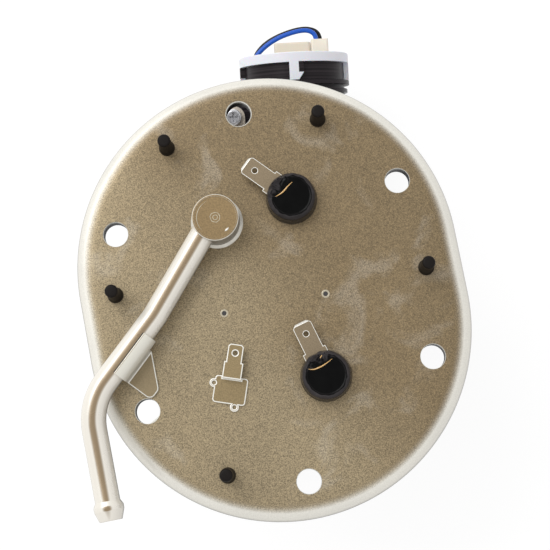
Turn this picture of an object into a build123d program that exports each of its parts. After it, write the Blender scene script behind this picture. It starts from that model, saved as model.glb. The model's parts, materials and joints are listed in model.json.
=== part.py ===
from build123d import *
import math
import os

# Fuel pump module for a tank with a six-bolt opening.
# Row frame: millimetres, +Z out of the tank, +Y along the flange's long axis.
# The origin is the centre of the bolt pattern on the tank's seat, under the gasket.
# Pump frame: origin at the centre of the retaining cap's outer face, X up towards the flange,
# Y to the right, Z along the pump towards its outlet end.

# ---------------------------------------------------------------- driving sizes
# Flange
arc_offset = 10.6            # from the flange's centre to each end arc's centre
bolt_pitch_radius = 50.0     # bolt holes, about each end arc's centre
bolt_angle = 21.7            # side bolt holes, above the line across an end arc's centre
bolt_hole_d = 8.0
bolt_edge = 12.0             # from the bolt holes' circle to the rim
plate_thickness = 2.0
rim_roll = 4.5               # outer radius of the rolled-down edge
skirt_depth = 3.0            # the rolled edge, below the plate's underside
gasket_thickness = 4.0
gasket_band = 16.0           # width of the gasket ring
gasket_rim_gap = 0.4
groove_width = 1.2
groove_depth = 0.6
groove_inset = 2.6
hole_land = 1.0              # least rubber between a groove and a bolt hole
weld_dimple_depth = 0.3

# Gasket nipples, pulled up through the plate
nipple_d = 4.2
nipple_height = 12.5
nipple_edge = 0.84           # rounding of the tip
nipple_collar_d = 5.6
nipple_collar_height = 2.8
nipple_angle = 30.0          # end nipples, from the long axis
side_nipple_y = -0.5
left_nipple_y = 9.6

# Outlet fitting and pipe
boss_x = -13.5
boss_y = 26.65
boss_d = 15.0
boss_edge = 0.5
boss_height = 11.0
boss_braze_d = 17.0
boss_braze_height = 0.9
boss_shank_d = 10.0
boss_lip = 0.7               # raised rim around the boss's top
boss_lip_height = 0.25
pipe_d = 8.0
pipe_wall = 1.0
pipe_rise = 6.2              # pipe axis above the plate
pipe_socket_start = 3.2      # from the boss's axis line to the pipe's inner end
pipe_start = (-14.5, 27.5)
pipe_kink = (-38.3, -0.25)
pipe_bend = (-63.5, -23.6)
pipe_end = (-63.2, -61.0)
pipe_kink_radius = 30.0
pipe_bend_radius = 20.0
bead_d = 9.6
bead_length = 3.0
bead_nose_d = 7.4
bead_nose_length = 3.2

# Saddle bracket that holds the pipe
saddle_sheet = 1.2
saddle_start = 6.2           # along the pipe, from the kink
saddle_length = 15.9
saddle_lip_angle = 12.0      # the saddle's free edge, from the pipe's crown
saddle_foot_start = 3.2      # the foot's near corner, after the saddle's start
saddle_foot_reach = 14.5     # from the pipe's axis to the foot's tip
saddle_tip_width = 4.2
saddle_tip_radius = 2.0

# Earth tab
earth_x = -17.83
earth_y = -23.44
earth_turn = -19.1
earth_sheet = 0.8
earth_foot_width = 10.6
earth_foot_length = 8.7
earth_rise = 4.0             # tab's top above the plate
earth_root_width = 6.15
earth_shoulder = 4.5
earth_tab_width = 4.95
earth_tab_tip = 10.3
earth_hole_d = 1.7
earth_hole_y = 7.45
earth_tab_chamfer = 0.7
earth_foot_corner = 1.0
earth_ear_d = 2.9
earth_ear_hole_d = 1.3
earth_side_ear = 2.6         # side ear, behind the foot's front edge
earth_side_ear_out = 0.2     # its centre, outside the foot's side
earth_end_ear = 2.1          # end ear, to the right of the foot's middle
earth_end_ear_out = 0.8      # its centre, behind the foot

# Through-plate terminals
terminal_x = 11.7
upper_terminal_y = 29.6
lower_terminal_y = -28.8
upper_blade_turn = 133.4
lower_blade_turn = 105.2
plate_terminal_hole_d = 9.0
insulator_d = 16.6
insulator_top_d = 15.4
insulator_height = 4.0
resin_top_d = 13.0
resin_height = 2.9
resin_edge = 0.8
blade_sheet = 0.8
blade_width = 6.3
blade_root_width = 7.9
blade_shoulder = 8.8         # from the stud's axis
blade_tip = 18.7
blade_hole_d = 1.8
blade_hole_from_tip = 4.1
blade_chamfer = 1.2
stud_d = 4.0
stud_head_d = 7.4
stud_head_height = 1.2
stud_tail = 2.4              # stud past its nut
inner_bush_d = 14.0
inner_bush_height = 3.0
lug_sheet = 0.8
lug_ring_d = 8.0
lug_barrel_d = 3.0
lug_barrel_length = 6.0
lug_barrel_start = 6.0
nut_flats = 7.0
nut_height = 3.2
upper_lug_turn = 0.0
lower_lug_turn = 52.0

# Pump's place
pump_x = 23.3
pump_y = 89.0
pump_z = -43.6
pump_azimuth = 8.0           # from +Y towards +X
pump_pitch = 9.5             # outlet end up

# Retaining cap
cap_band = 3.4
cap_edge = 0.4
cap_fit = 0.05               # between the holder and the cap's arms
cap_opening_gap = 0.6        # around the pump's case
arm_width = 3.3
arm_thickness = 1.7
barb_reach = 1.7
barb_height = 2.5
barb_top = 7.1               # below the cap's outer face

# Pump holder
holder_wall = 1.75
holder_floor = 2.0
rim_one_top = 9.7
rim_one_height = 1.5
rim_two_top = 12.6
rim_two_height = 1.3
rim_two_step = 0.7           # second rim, inside the cap's outer face
ear_reach = 4.5              # screw's distance outside the holder
ear_height = 4.0
ear_top = 7.0                # ear's face above the pump's axis
ear_half_width = 5.0
ear_first = 21.1             # first screw, below the cap's outer face
ear_from_bottom = 9.4        # second screw, above the holder's lower end
pillar_wall = 1.7            # around each screw
inlet_gap = 1.2              # holder's opening, around the inlet nipple
rib_height = 0.5
rib_width = 1.2
rib_count = 7
rib_pitch = 8.2
rib_first = 19.0

# Rubber sleeve and pump
sleeve_top = 17.0
sleeve_wall = 1.0
sleeve_foot = 2.4
case_d = 30.0
case_wall = 1.2
case_top = 9.0
case_length = 68.0
case_lip = 1.6
case_edge = 0.72
head_body_length = 7.8
head_neck_top = 2.0
head_block_left = 6.7
head_block_right = 6.3
head_block_low = 10.2
head_block_high = 6.0
head_block_top = 4.6
head_block_corner = 1.2
head_block_edge = 0.6
shaft_d = 4.0
shaft_gap = 0.03
shaft_recess = 2.0           # in the inlet cover
shaft_entry = 1.5            # shaft in that recess
shaft_end_gap = 0.5
bush_d = 6.0
bush_length = 5.0
running_gap = 0.3
cover_thickness = 5.8
body_thickness = 8.0
port_d = 4.2                 # pump body's outlet port
port_side = 9.0
impeller_rim_gap = 1.8       # from the impeller to the case's bore
impeller_thickness = 3.6
impeller_vanes = 24
impeller_vane_depth = 1.6
impeller_vane_height = 1.37
impeller_vane_width = 1.4
impeller_rim = 0.5           # outside the vane pockets
core_gap = 8.0               # from the pump body to the core
core_slots = 8
core_slot_width = 1.6
core_slot_depth = 3.4
winding_inset = 1.3          # below the core's surface
winding_length = 4.0
winding_edge = 1.2
commutator_d = 13.2
commutator_length = 5.0
commutator_bars = 8
commutator_step = 0.5        # between the windings and the bars
commutator_gap = 2.5         # to the outlet head
commutator_cut = 0.4
commutator_cut_depth = 1.2
magnet_thickness = 3.45
magnet_overhang = 3.0        # past the core's ends
magnet_gap = 0.55
magnet_arc = 130.0
clip_thickness = 0.7
clip_arc = 34.0
brush_d = 3.0
brush_side = 4.9
brush_length = 6.4
brush_clearance = 0.05
brush_wear = 1.5
brush_spring_wire = 0.4
brush_spring_room = 4.0      # spring with the brush worn down
brush_spring_turns = 5
nipple_offset = 7.0          # inlet nipple, below the pump's axis
inlet_nipple_d = 9.0
inlet_bore_d = 6.0
inlet_nipple_length = 14.0

# Valves in the outlet head
valve_seat_depth = 3.0
valve_wire = 0.4
valve_coil_share = 0.38      # spring's radius, as a share of its ball's diameter
check_side = 7.0
check_chamber_d = 6.0
check_seat_d = 3.2
check_ball_d = 4.8
check_lift = 1.5
check_headroom = 0.3         # chamber above its port
check_port_d = 3.6           # port from the chamber to the riser under the elbow
check_spring_room = 1.91     # spring's length with the valve open
check_spring_turns = 3
riser_d = 4.4
riser_foot = 2.2             # riser below the port's axis
riser_top_d = 5.5            # round junction with the elbow's bore
relief_wall = 0.5            # outside the relief chamber
relief_chamber_d = 4.6
relief_seat_d = 2.2
relief_ball_d = 3.6
relief_lift = 1.0
relief_spring_room = 6.175
relief_spring_turns = 5

# Outlet elbow and hose
elbow_turn = 190.0           # around the pump, from its top
elbow_d = 7.6
elbow_bore_d = 5.0
elbow_standoff = 7.1         # elbow's axis, outside the cap
elbow_height = 0.8           # radial run's axis above the cap's outer face
elbow_drop = 15.0
elbow_radius = 5.5
elbow_socket = 4.0           # elbow's inner end, from the pump's axis
elbow_notch_gap = 0.4
barb_length = 3.0            # barbs on the elbow and the flange's spigot
barb_tip = 0.4               # taken off the diameter at a barb's tip
barb_rise = 0.9              # added to it at a barb's root
hose_wall = 2.2
hose_seat = 10.5
spigot_length = 20.0
clamp_width = 6.0
clamp_thickness = 0.6
clamp_ear = 4.0
clamp_gap = 0.03
clamp_ear_gap = 0.8
clamp_ear_sheet = 1.2
clamp_turn = 200.0           # the upper clamp's ears, around the spigot
clamp_setback = 2.0          # clamp from the hose's end
hose_straight_end = -40.0    # below the cap's outer face
hose_rise = 12.0             # straight run below the flange's spigot
hose_route = (
    (-22.5, -21.5, -58.0),
    (-6.0, -33.0, -67.5),
    (16.0, -34.4, -67.0),
)

# Hose and wires
route_arc_share = 0.45       # part of the shorter run that a corner's arc takes

# Wiring
wire_d = 1.65
plug_left = 6.5
plug_width = 6.1
plug_low = -4.2
plug_high = 6.4
plug_top = 5.3
plug_corner = 0.8
plug_split = 0.7
plug_split_depth = 1.6
contact_sheet = 0.8
contact_width = 2.2
contact_depth = 6.0
blue_seat = (4.2, 8.7)       # wires in the plug: above the pump's axis, and to its right
black_seat = (-1.0, 10.1)
wire_seat_depth = 3.6
wire_lead = 6.0              # straight run before a lug's barrel
wire_slot_turn = 165.0
wire_slot_width = 7.6
wire_slot_depth = 5.8
# Wires between the plug and the last corner before each lug, in the pump frame
blue_route = (
    (4.2, 8.7, 6.4),
    (4.2, 6.2, 8.8),
    (4.3, 1.2, 8.6),
    (4.3, -6.6, 6.1),
    (4.0, -13.3, 1.0),
    (2.0, -14.7, -3.5),
    (-4.4, -13.8, -6.8),
    (-10.6, -9.8, -7.4),
    (-14.2, -2.6, -7.2),
    (-17.5, 7.0, -7.0),
    (-22.0, 9.6, -12.5),
    (-20.6, 12.6, -24.0),
    (-12.0, 20.6, -33.5),
    (2.0, 24.6, -41.5),
    (18.0, 24.4, -48.0),
    (35.0, 22.8, -52.5),
)
black_route = (
    (-1.0, 10.1, 6.2),
    (-0.4, 8.6, 9.0),
    (0.6, 4.0, 10.0),
    (1.6, -3.4, 8.2),
    (1.2, -10.2, 5.0),
    (-1.6, -14.3, 0.4),
    (-6.4, -13.2, -3.4),
    (-11.4, -8.6, -4.9),
    (-14.2, -1.4, -4.9),
    (-16.6, 7.2, -5.0),
    (-21.6, 11.6, -9.0),
    (-22.0, 15.6, -19.0),
    (-14.4, 22.6, -30.0),
    (-2.0, 26.4, -43.0),
    (10.5, 27.2, -58.0),
    (24.0, 27.2, -72.0),
    (38.0, 25.0, -83.0),
    (50.0, 20.4, -90.0),
)

# Bracket and screws
bracket_sheet = 2.0
strip_sheet = 1.6
strip_width = 8.0
foot_margin = 6.0            # sheet around each spot weld
foot_corner = 3.0
leg_width = 10.0
weld_x = 16.6
weld_y = -2.8
weld_d = 1.5
strip_tail = 20.0            # strip beyond the second screw
screw_d = 3.0
screw_head_d = 5.8
screw_head_height = 2.2
screw_crown = 0.88
screw_recess = 3.48          # across the cross recess
screw_length = 8.0
screw_slot = 0.9
screw_recess_depth = 1.3

# Strainer
# Outline points: to the pump's right, and along it from the bag's upper edge
strainer_corner = (-66.9, -42.3)
strainer_mid = (-56.5, -56.4)
strainer_tail = (-42.9, -65.6)
strainer_toe = (-30.0, -66.5)
strainer_side = (4.0, -32.0)
strainer_sharp_radius = 2.5
strainer_toe_radius = 8.0
strainer_side_radius = 24.0
strainer_neck_radius = 5.0
strainer_round = 0.36        # the bag's edge radius, as a share of its thickness
strainer_thickness = 9.0
strainer_skin = 0.8
seam_width = 2.2
seam_thickness = 1.4
neck_d = 13.0
neck_length = 10.0
neck_shoulder = 12.35        # half width of the outline's top
neck_flange_d = 17.0
neck_flange = 1.6
strainer_gap = 3.0           # bag's upper edge, below the inlet nipple's end
neck_into_bag = 8.0
frame_wall = 1.4             # ribs of the frame inside the bag
frame_end = (-43.0, -54.0)   # far end of the frame's spine, as the outline's points
frame_stations = (0.24, 0.46, 0.68, 0.88)
frame_window_d = 4.0
frame_windows = (-17.0, -11.0, -5.0, 5.0, 11.0)

# ---------------------------------------------------------------- derived values
over = 1.0                                     # cuts and joined parts run this far past a face
match = 0.01                                   # how closely an edge or corner is picked
seat_z = gasket_thickness                      # plate's underside
plate_top = seat_z + plate_thickness
rim_radius = bolt_pitch_radius + bolt_edge
pipe_z = plate_top + pipe_rise
bolt_x = bolt_pitch_radius * math.cos(math.radians(bolt_angle))
bolt_y = arc_offset + bolt_pitch_radius * math.sin(math.radians(bolt_angle))
end_bolt_y = arc_offset + bolt_pitch_radius
gasket_radius = rim_radius - rim_roll - gasket_rim_gap
gasket_inner = gasket_radius - gasket_band

azimuth = math.radians(pump_azimuth)
pitch = math.radians(pump_pitch)
pump_axis = Vector(
    math.sin(azimuth) * math.cos(pitch),
    math.cos(azimuth) * math.cos(pitch),
    math.sin(pitch),
)
pump_up = Vector(
    -math.sin(azimuth) * math.sin(pitch),
    -math.cos(azimuth) * math.sin(pitch),
    math.cos(pitch),
)
pump_datum = Vector(pump_x, pump_y, pump_z)
pump_plane = Plane(origin=pump_datum, x_dir=pump_up, z_dir=pump_axis)
pump_place = pump_plane.location

case_bore_d = case_d - 2 * case_wall
case_bottom = -case_top - case_length
holder_bore_d = case_d + 2 * sleeve_wall
holder_d = holder_bore_d + 2 * holder_wall
holder_top = -cap_band
holder_bottom = case_bottom - sleeve_foot - holder_floor
cap_d = holder_d + 2 * (arm_thickness + cap_fit)
cap_opening_d = case_d + 2 * cap_opening_gap
rim_two_d = cap_d - 2 * rim_two_step
ear_side = holder_d / 2 + ear_reach
ear_stations = (ear_first, -holder_bottom - ear_from_bottom)
strip_rear = ear_stations[-1] + strip_tail
elbow_reach = cap_d / 2 + elbow_standoff
cover_bottom = case_bottom + case_wall
cover_top = cover_bottom + cover_thickness
body_top = cover_top + body_thickness
pocket_top = cover_top + impeller_thickness + 2 * running_gap
head_body_top = -case_top - case_wall
head_body_bottom = head_body_top - head_body_length
nipple_bottom = case_bottom - inlet_nipple_length
strainer_top = strainer_gap - nipple_bottom
hose_d = elbow_d + 2 * hose_wall

# Rotor, between the pump body and the outlet head
commutator_top = head_body_bottom - commutator_gap
commutator_low = commutator_top - commutator_length
core_high = commutator_low - commutator_step - winding_length
core_low = body_top + core_gap
core_d = case_bore_d - 2 * (magnet_thickness + magnet_gap)
winding_d = core_d - 2 * winding_inset
impeller_d = case_bore_d - 2 * impeller_rim_gap
magnet_length = core_high - core_low + 2 * magnet_overhang
upper_bush_low = head_body_bottom

# Brushes and valves in the outlet head
brush_low = commutator_top + running_gap
brush_top = brush_low + brush_length
brush_bore_top = brush_top + brush_wear + brush_spring_room
valve_seat = head_body_bottom + valve_seat_depth
check_ball_rise = math.sqrt((check_ball_d / 2) ** 2 - (check_seat_d / 2) ** 2)
check_ball_z = valve_seat + check_ball_rise + running_gap
check_spring_low = check_ball_z + check_ball_d / 2 + running_gap
check_spring_top = check_spring_low + check_lift + check_spring_room
check_port_z = check_spring_top + check_port_d / 2
head_neck_d = case_bore_d - 2 * case_lip
relief_high = head_neck_d / 2 - relief_wall - relief_chamber_d / 2
relief_ball_rise = math.sqrt((relief_ball_d / 2) ** 2 - (relief_seat_d / 2) ** 2)
relief_ball_z = valve_seat + relief_ball_rise + running_gap
relief_spring_low = relief_ball_z + relief_ball_d / 2 + running_gap
relief_plug_low = relief_spring_low + relief_lift + relief_spring_room

MIN = (Align.CENTER, Align.CENTER, Align.MIN)

os.makedirs("parts", exist_ok=True)


# ---------------------------------------------------------------- helpers
def rod(diameter, low, high, x=0.0, y=0.0):
    """Round bar along Z from low to high, centred on x, y."""
    return Pos(x, y, low) * Cylinder(diameter / 2, high - low, align=MIN)


def ring(outer, inner, low, high, x=0.0, y=0.0):
    """Round tube along Z."""
    return rod(outer, low, high, x, y) - rod(inner, low - over, high + over, x, y)


def cone(low_d, high_d, low, high, x=0.0, y=0.0):
    """Tapered round bar along Z."""
    return Pos(x, y, low) * Cone(low_d / 2, high_d / 2, high - low, align=MIN)


def block(x0, x1, y0, y1, z0, z1):
    """Box between two corners."""
    return Pos((x0 + x1) / 2, (y0 + y1) / 2, (z0 + z1) / 2) * Box(x1 - x0, y1 - y0, z1 - z0)


def turned(angle):
    """Place at an angle around the pump's axis, from its top towards its right."""
    return Rot(0, 0, angle)


def obround(radius, low, high):
    """Flange outline at a radius about the two end arcs' centres."""
    outline = SlotCenterToCenter(2 * arc_offset, 2 * radius, rotation=90)
    return Pos(0, 0, low) * extrude(outline, high - low)


def bolt_places():
    """Centres of the six bolt holes."""
    sides = [(sx * bolt_x, sy * bolt_y) for sx in (1, -1) for sy in (1, -1)]
    return sides + [(0.0, end_bolt_y), (0.0, -end_bolt_y)]


def nipple_places():
    """Centres of the five gasket nipples."""
    side = bolt_pitch_radius * math.sin(math.radians(nipple_angle))
    end = arc_offset + bolt_pitch_radius * math.cos(math.radians(nipple_angle))
    return [
        (-side, end),
        (side, end),
        (bolt_pitch_radius, side_nipple_y),
        (-bolt_pitch_radius, left_nipple_y),
        (-side, -end),
    ]


def coil(radius, wire, low, high, turns):
    """Open compression spring along Z."""
    height = high - low - wire
    path = Helix(pitch=height / turns, height=height, radius=radius)
    start = path @ 0
    section = Plane(origin=start, z_dir=path % 0) * Circle(wire / 2)
    return Pos(0, 0, low + wire / 2) * sweep(section, path=path, is_frenet=True)


def sweep_tube(path, outer, inner=0.0):
    """Round tube, or rod where inner is 0, along a path of lines and arcs."""
    plane = Plane(origin=path @ 0, z_dir=path % 0)
    solid = sweep(plane * Circle(outer / 2), path=path)
    if inner:
        solid -= sweep(plane * Circle(inner / 2), path=path)
    return solid


def route_radii(points):
    """Arc radius at each corner of a route: a share of its shorter run over the half turn."""
    radii = []
    for before, corner, after in zip(points, points[1:], points[2:]):
        first = Vector(*corner) - Vector(*before)
        second = Vector(*after) - Vector(*corner)
        half_turn = math.radians(first.get_angle(second)) / 2
        radii.append(route_arc_share * min(first.length, second.length) / math.tan(half_turn))
    return radii


def routed(points):
    """Straight runs joined by tangent arcs."""
    return FilletPolyline(*points, radius=route_radii(points))


def on_pump(shape):
    """Move a shape from the pump frame to the row frame."""
    return pump_place * shape


def pump_point(up, right, along):
    """A point of the pump frame, in the row frame."""
    spot = pump_place * Pos(up, right, along)
    return tuple(spot.position)


def save(name, shape):
    """Write one node."""
    solids = shape.solids() if hasattr(shape, "solids") else shape
    node = Compound(children=list(solids)) if len(solids) > 1 else solids[0]
    export_step(node, f"parts/{name}.step")


# ---------------------------------------------------------------- flange
def flange_plate():
    """Stamped plate with a rolled-down edge and its holes."""
    outer = obround(rim_radius, seat_z - skirt_depth, plate_top)
    top_edges = outer.faces().sort_by(Axis.Z)[-1].edges()
    outer = fillet(top_edges, rim_roll)
    inner = obround(rim_radius - plate_thickness, seat_z - skirt_depth, seat_z)
    inner_edges = inner.faces().sort_by(Axis.Z)[-1].edges()
    inner = fillet(inner_edges, rim_roll - plate_thickness)
    plate = outer - inner
    for x, y in bolt_places():
        plate -= rod(bolt_hole_d, seat_z - over, plate_top + over, x, y)
    for x, y in nipple_places():
        plate -= rod(nipple_d, seat_z - over, plate_top + over, x, y)
    for y in (upper_terminal_y, lower_terminal_y):
        plate -= rod(plate_terminal_hole_d, seat_z - over, plate_top + over, terminal_x, y)
    plate -= rod(boss_shank_d, seat_z - over, plate_top + over, boss_x, boss_y)
    for side in (-1, 1):
        low = plate_top - weld_dimple_depth
        plate -= ring(2 * weld_d, weld_d, low, plate_top + over, side * weld_x, weld_y)
    return plate


def seal_gasket():
    """Rubber ring with grooves in its seat face and five nipples."""
    gasket = obround(gasket_radius, 0, seat_z) - obround(gasket_inner, -over, seat_z + over)
    groove_limit = (gasket_band - bolt_hole_d) / 2 - hole_land - groove_width
    inset = min(groove_inset, groove_limit)
    for edge in (gasket_radius - inset, gasket_inner + inset + groove_width):
        groove = obround(edge, -over, groove_depth)
        groove -= obround(edge - groove_width, -2 * over, groove_depth + over)
        gasket -= groove
    for x, y in bolt_places():
        gasket -= rod(bolt_hole_d, -over, seat_z + over, x, y)
    for x, y in nipple_places():
        tip = plate_top + nipple_height
        stem = rod(nipple_d, seat_z, tip, x, y)
        stem = fillet(stem.edges().sort_by(Axis.Z)[-1], nipple_edge)
        collar = cone(nipple_collar_d, nipple_d, plate_top, plate_top + nipple_collar_height, x, y)
        gasket += stem + collar
    return gasket


# ---------------------------------------------------------------- outlet fitting and pipe
def pipe_points():
    """Corners of the outlet pipe's axis."""
    corners = (pipe_start, pipe_kink, pipe_bend, pipe_end)
    return [Vector(x, y, pipe_z) for x, y in corners]


def pipe_path(start_gap=0.0, end_gap=0.0):
    """The pipe's axis, shortened at either end."""
    points = pipe_points()
    first = (points[1] - points[0]).normalized()
    last = (points[-1] - points[-2]).normalized()
    points[0] = points[0] + first * start_gap
    points[-1] = points[-1] - last * end_gap
    return FilletPolyline(*points, radius=[pipe_kink_radius, pipe_bend_radius])


def hose_barb():
    """Barb that a hose is pushed over, from its tip upwards."""
    return cone(elbow_d - barb_tip, elbow_d + barb_rise, 0, barb_length)


def outlet_boss():
    """Turned fitting, brazed in the plate, with a hose spigot inside the tank."""
    top = plate_top + boss_height
    spigot_end = seat_z - spigot_length
    boss = rod(boss_d, plate_top, top, boss_x, boss_y)
    boss = fillet(boss.edges().sort_by(Axis.Z)[-1], boss_edge)
    face_d = boss_d - 2 * boss_lip
    boss -= rod(face_d, top - boss_lip_height, top + over, boss_x, boss_y)
    boss += cone(boss_braze_d, boss_d, plate_top, plate_top + boss_braze_height, boss_x, boss_y)
    boss += rod(boss_shank_d, seat_z, plate_top, boss_x, boss_y)
    boss += rod(elbow_d, spigot_end, seat_z, boss_x, boss_y)
    boss += Pos(boss_x, boss_y, spigot_end) * hose_barb()
    boss -= rod(elbow_bore_d, spigot_end - over, pipe_z + elbow_bore_d / 2, boss_x, boss_y)
    start = pipe_points()[0]
    along = (pipe_points()[1] - start).normalized()
    seat = Plane(origin=start + along * pipe_socket_start, z_dir=along)
    boss -= seat * rod(pipe_d, 0, boss_d)
    boss -= seat * rod(pipe_d - 2 * pipe_wall, -pipe_socket_start - over, over)
    return boss


def outlet_pipe():
    """Bent steel tube with a beaded end for the fuel hose."""
    nose = bead_length + bead_nose_length
    bore_d = pipe_d - 2 * pipe_wall
    pipe = sweep_tube(pipe_path(pipe_socket_start, nose), pipe_d)
    last = (pipe_points()[-1] - pipe_points()[-2]).normalized()
    end = Plane(origin=pipe_points()[-1] - last * nose, z_dir=last)
    bead = cone(pipe_d, bead_d, 0, bead_length / 2)
    bead += rod(bead_d, bead_length / 2, bead_length)
    bead += cone(bead_d, bead_nose_d, bead_length, nose)
    pipe += end * bead
    pipe -= sweep_tube(pipe_path(pipe_socket_start, nose), bore_d)
    pipe -= end * rod(bore_d, -over, nose + over)
    return pipe


def saddle_plane():
    """Origin under the pipe's kink on the plate, X along the pipe, Y to the foot's side."""
    kink, bend = pipe_points()[1], pipe_points()[2]
    along = (bend - kink).normalized()
    return Plane(origin=(kink.X, kink.Y, plate_top), x_dir=along, z_dir=(0, 0, 1))


def pipe_saddle():
    """Sheet bracket: a saddle over the pipe's side, a web and a pointed foot."""
    inner = pipe_d / 2
    outer = inner + saddle_sheet
    end = saddle_start + saddle_length
    shell = Plane.YZ * Circle(outer) - Plane.YZ * Circle(inner)
    shell = Pos(saddle_start, 0, pipe_rise) * extrude(shell, saddle_length)
    lip = math.radians(saddle_lip_angle)
    away = 3 * outer
    keep_points = [
        (0, 0),
        (away * math.sin(lip), away * math.cos(lip)),
        (away, away),
        (away, 0),
        (0, 0),
    ]
    keep = Plane.YZ * make_face(Polyline(*keep_points))
    keep = Pos(saddle_start - over, 0, pipe_rise) * extrude(keep, saddle_length + 2 * over)
    saddle = shell & keep
    web_start = saddle_start + saddle_foot_start
    web = block(web_start, end, inner, outer, 0, pipe_rise)
    foot_outline = Polyline(
        (web_start, inner),
        (end, inner),
        (end, saddle_foot_reach),
        (end - saddle_tip_width, saddle_foot_reach),
        (web_start, inner + saddle_sheet),
        (web_start, inner),
    )
    foot = extrude(make_face(foot_outline), saddle_sheet)
    tip_edges = foot.edges().filter_by(Axis.Z).sort_by(Axis.Y)[-2:]
    foot = fillet(tip_edges, saddle_tip_radius)
    return saddle_plane().location * (saddle + web + foot)


# ---------------------------------------------------------------- earth tab
def earth_tab():
    """Spot-welded sheet terminal with a raised tab."""
    half = earth_foot_width / 2
    rise = earth_rise - earth_sheet
    foot = block(-half, half, -earth_foot_length, 0, 0, earth_sheet)
    foot = fillet(foot.edges().filter_by(Axis.Z), earth_foot_corner)
    side_ear = (-half - earth_side_ear_out, -earth_side_ear)
    end_ear = (earth_end_ear, -earth_foot_length - earth_end_ear_out)
    for x, y in (side_ear, end_ear):
        foot += rod(earth_ear_d, 0, earth_sheet, x, y)
        foot -= rod(earth_ear_hole_d, -over, earth_sheet + over, x, y)
    root = earth_root_width / 2
    riser = block(-root, root, -earth_sheet, 0, 0, earth_rise)
    wide = block(-root, root, -earth_sheet, earth_shoulder, rise, earth_rise)
    narrow = earth_tab_width / 2
    tab = block(-narrow, narrow, earth_shoulder, earth_tab_tip, rise, earth_rise)
    tab = chamfer(tab.edges().filter_by(Axis.Z).sort_by(Axis.Y)[-2:], earth_tab_chamfer)
    tab -= rod(earth_hole_d, rise - over, earth_rise + over, 0, earth_hole_y)
    place = Pos(earth_x, earth_y, plate_top) * Rot(0, 0, earth_turn)
    return place * (foot + riser + wide + tab)


# ---------------------------------------------------------------- terminals
def terminal_place(y, turn):
    """Place of a terminal on the plate's top, X along its blade."""
    return Pos(terminal_x, y, plate_top) * Rot(0, 0, turn)


def insulator(y):
    """Outer insulator: a tapered disc with a collar through the plate."""
    disc = cone(insulator_d, insulator_top_d, 0, insulator_height)
    collar = rod(plate_terminal_hole_d, -plate_thickness, 0)
    bore = rod(stud_d, -plate_thickness - over, insulator_height + over)
    return terminal_place(y, 0) * (disc + collar - bore)


def stud_shape():
    """Headed brass stud, from its head down past the nut."""
    low = -plate_thickness - inner_bush_height - lug_sheet - nut_height - stud_tail
    shoulder = insulator_height + blade_sheet
    return rod(stud_d, low, shoulder) + rod(stud_head_d, shoulder, shoulder + stud_head_height)


def blade_shape():
    """Flat blade with a ring around the stud."""
    root = blade_root_width / 2
    half = blade_width / 2
    top = insulator_height + blade_sheet
    shape = rod(blade_root_width, insulator_height, top)
    shape += block(0, blade_shoulder, -root, root, insulator_height, top)
    tab = block(blade_shoulder, blade_tip, -half, half, insulator_height, top)
    tab = chamfer(tab.edges().filter_by(Axis.Z).sort_by(Axis.X)[-2:], blade_chamfer)
    shape += tab
    shape -= rod(stud_d, 0, top + over)
    shape -= rod(blade_hole_d, 0, top + over, blade_tip - blade_hole_from_tip, 0)
    return shape


def resin_shape():
    """Potting resin over the blade's root and the stud's head."""
    low = insulator_height
    dome = cone(insulator_top_d, resin_top_d, low, low + resin_height)
    dome = fillet(dome.edges().sort_by(Axis.Z)[-1], resin_edge)
    return dome - blade_shape() - stud_shape()


def inner_bush(y):
    """Insulating washer under the plate."""
    top = -plate_thickness
    washer = ring(inner_bush_d, stud_d, top - inner_bush_height, top)
    return terminal_place(y, 0) * washer


def lug(y, turn):
    """Ring lug with a crimp barrel for the wire."""
    top = -plate_thickness - inner_bush_height
    low = top - lug_sheet
    half = lug_barrel_d / 2
    end = lug_barrel_start + lug_barrel_length
    shape = rod(lug_ring_d, low, top)
    shape += block(0, lug_barrel_start + over, -half, half, low, top)
    barrel = Rot(0, 90, 0) * rod(lug_barrel_d, lug_barrel_start, end)
    shape += Pos(0, 0, low - half + lug_sheet) * barrel
    shape -= rod(stud_d, low - over, top + over)
    bore = Rot(0, 90, 0) * rod(wire_d, lug_barrel_start, end + over)
    shape -= Pos(0, 0, low - half + lug_sheet) * bore
    return terminal_place(y, turn) * shape


def lug_mouth(y, turn, depth):
    """Point on a lug barrel's axis, depth beyond the stud."""
    low = -plate_thickness - inner_bush_height - lug_sheet
    drop = low - lug_barrel_d / 2 + lug_sheet
    place = terminal_place(y, turn) * Pos(depth, 0, drop)
    return tuple(place.position)


def terminal_nuts():
    """Two hexagon nuts."""
    top = -plate_thickness - inner_bush_height - lug_sheet
    nuts = []
    for y in (upper_terminal_y, lower_terminal_y):
        hexagon = RegularPolygon(nut_flats / 2, 6, major_radius=False)
        nut = Pos(0, 0, top - nut_height) * extrude(hexagon, nut_height)
        nuts.append(terminal_place(y, 0) * (nut - rod(stud_d, top - nut_height - over, top + over)))
    return nuts


# ---------------------------------------------------------------- hanger bracket
def strip_solid():
    """The bracket's long strip, in the pump frame."""
    low = ear_top
    high = ear_top + strip_sheet
    half = strip_width / 2
    first = -ear_stations[0]
    strip = block(low, high, -ear_side - half, -ear_side + half, -strip_rear, first)
    tip = Pos(low, -ear_side, first) * Rot(0, 90, 0) * Cylinder(half, strip_sheet, align=MIN)
    return strip + tip


def screw_place(station):
    """On the strip's top face, Z out of it."""
    spot = Plane(origin=(ear_top + strip_sheet, -ear_side, -station), x_dir=(0, 1, 0), z_dir=(1, 0, 0))
    return spot.location


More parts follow.
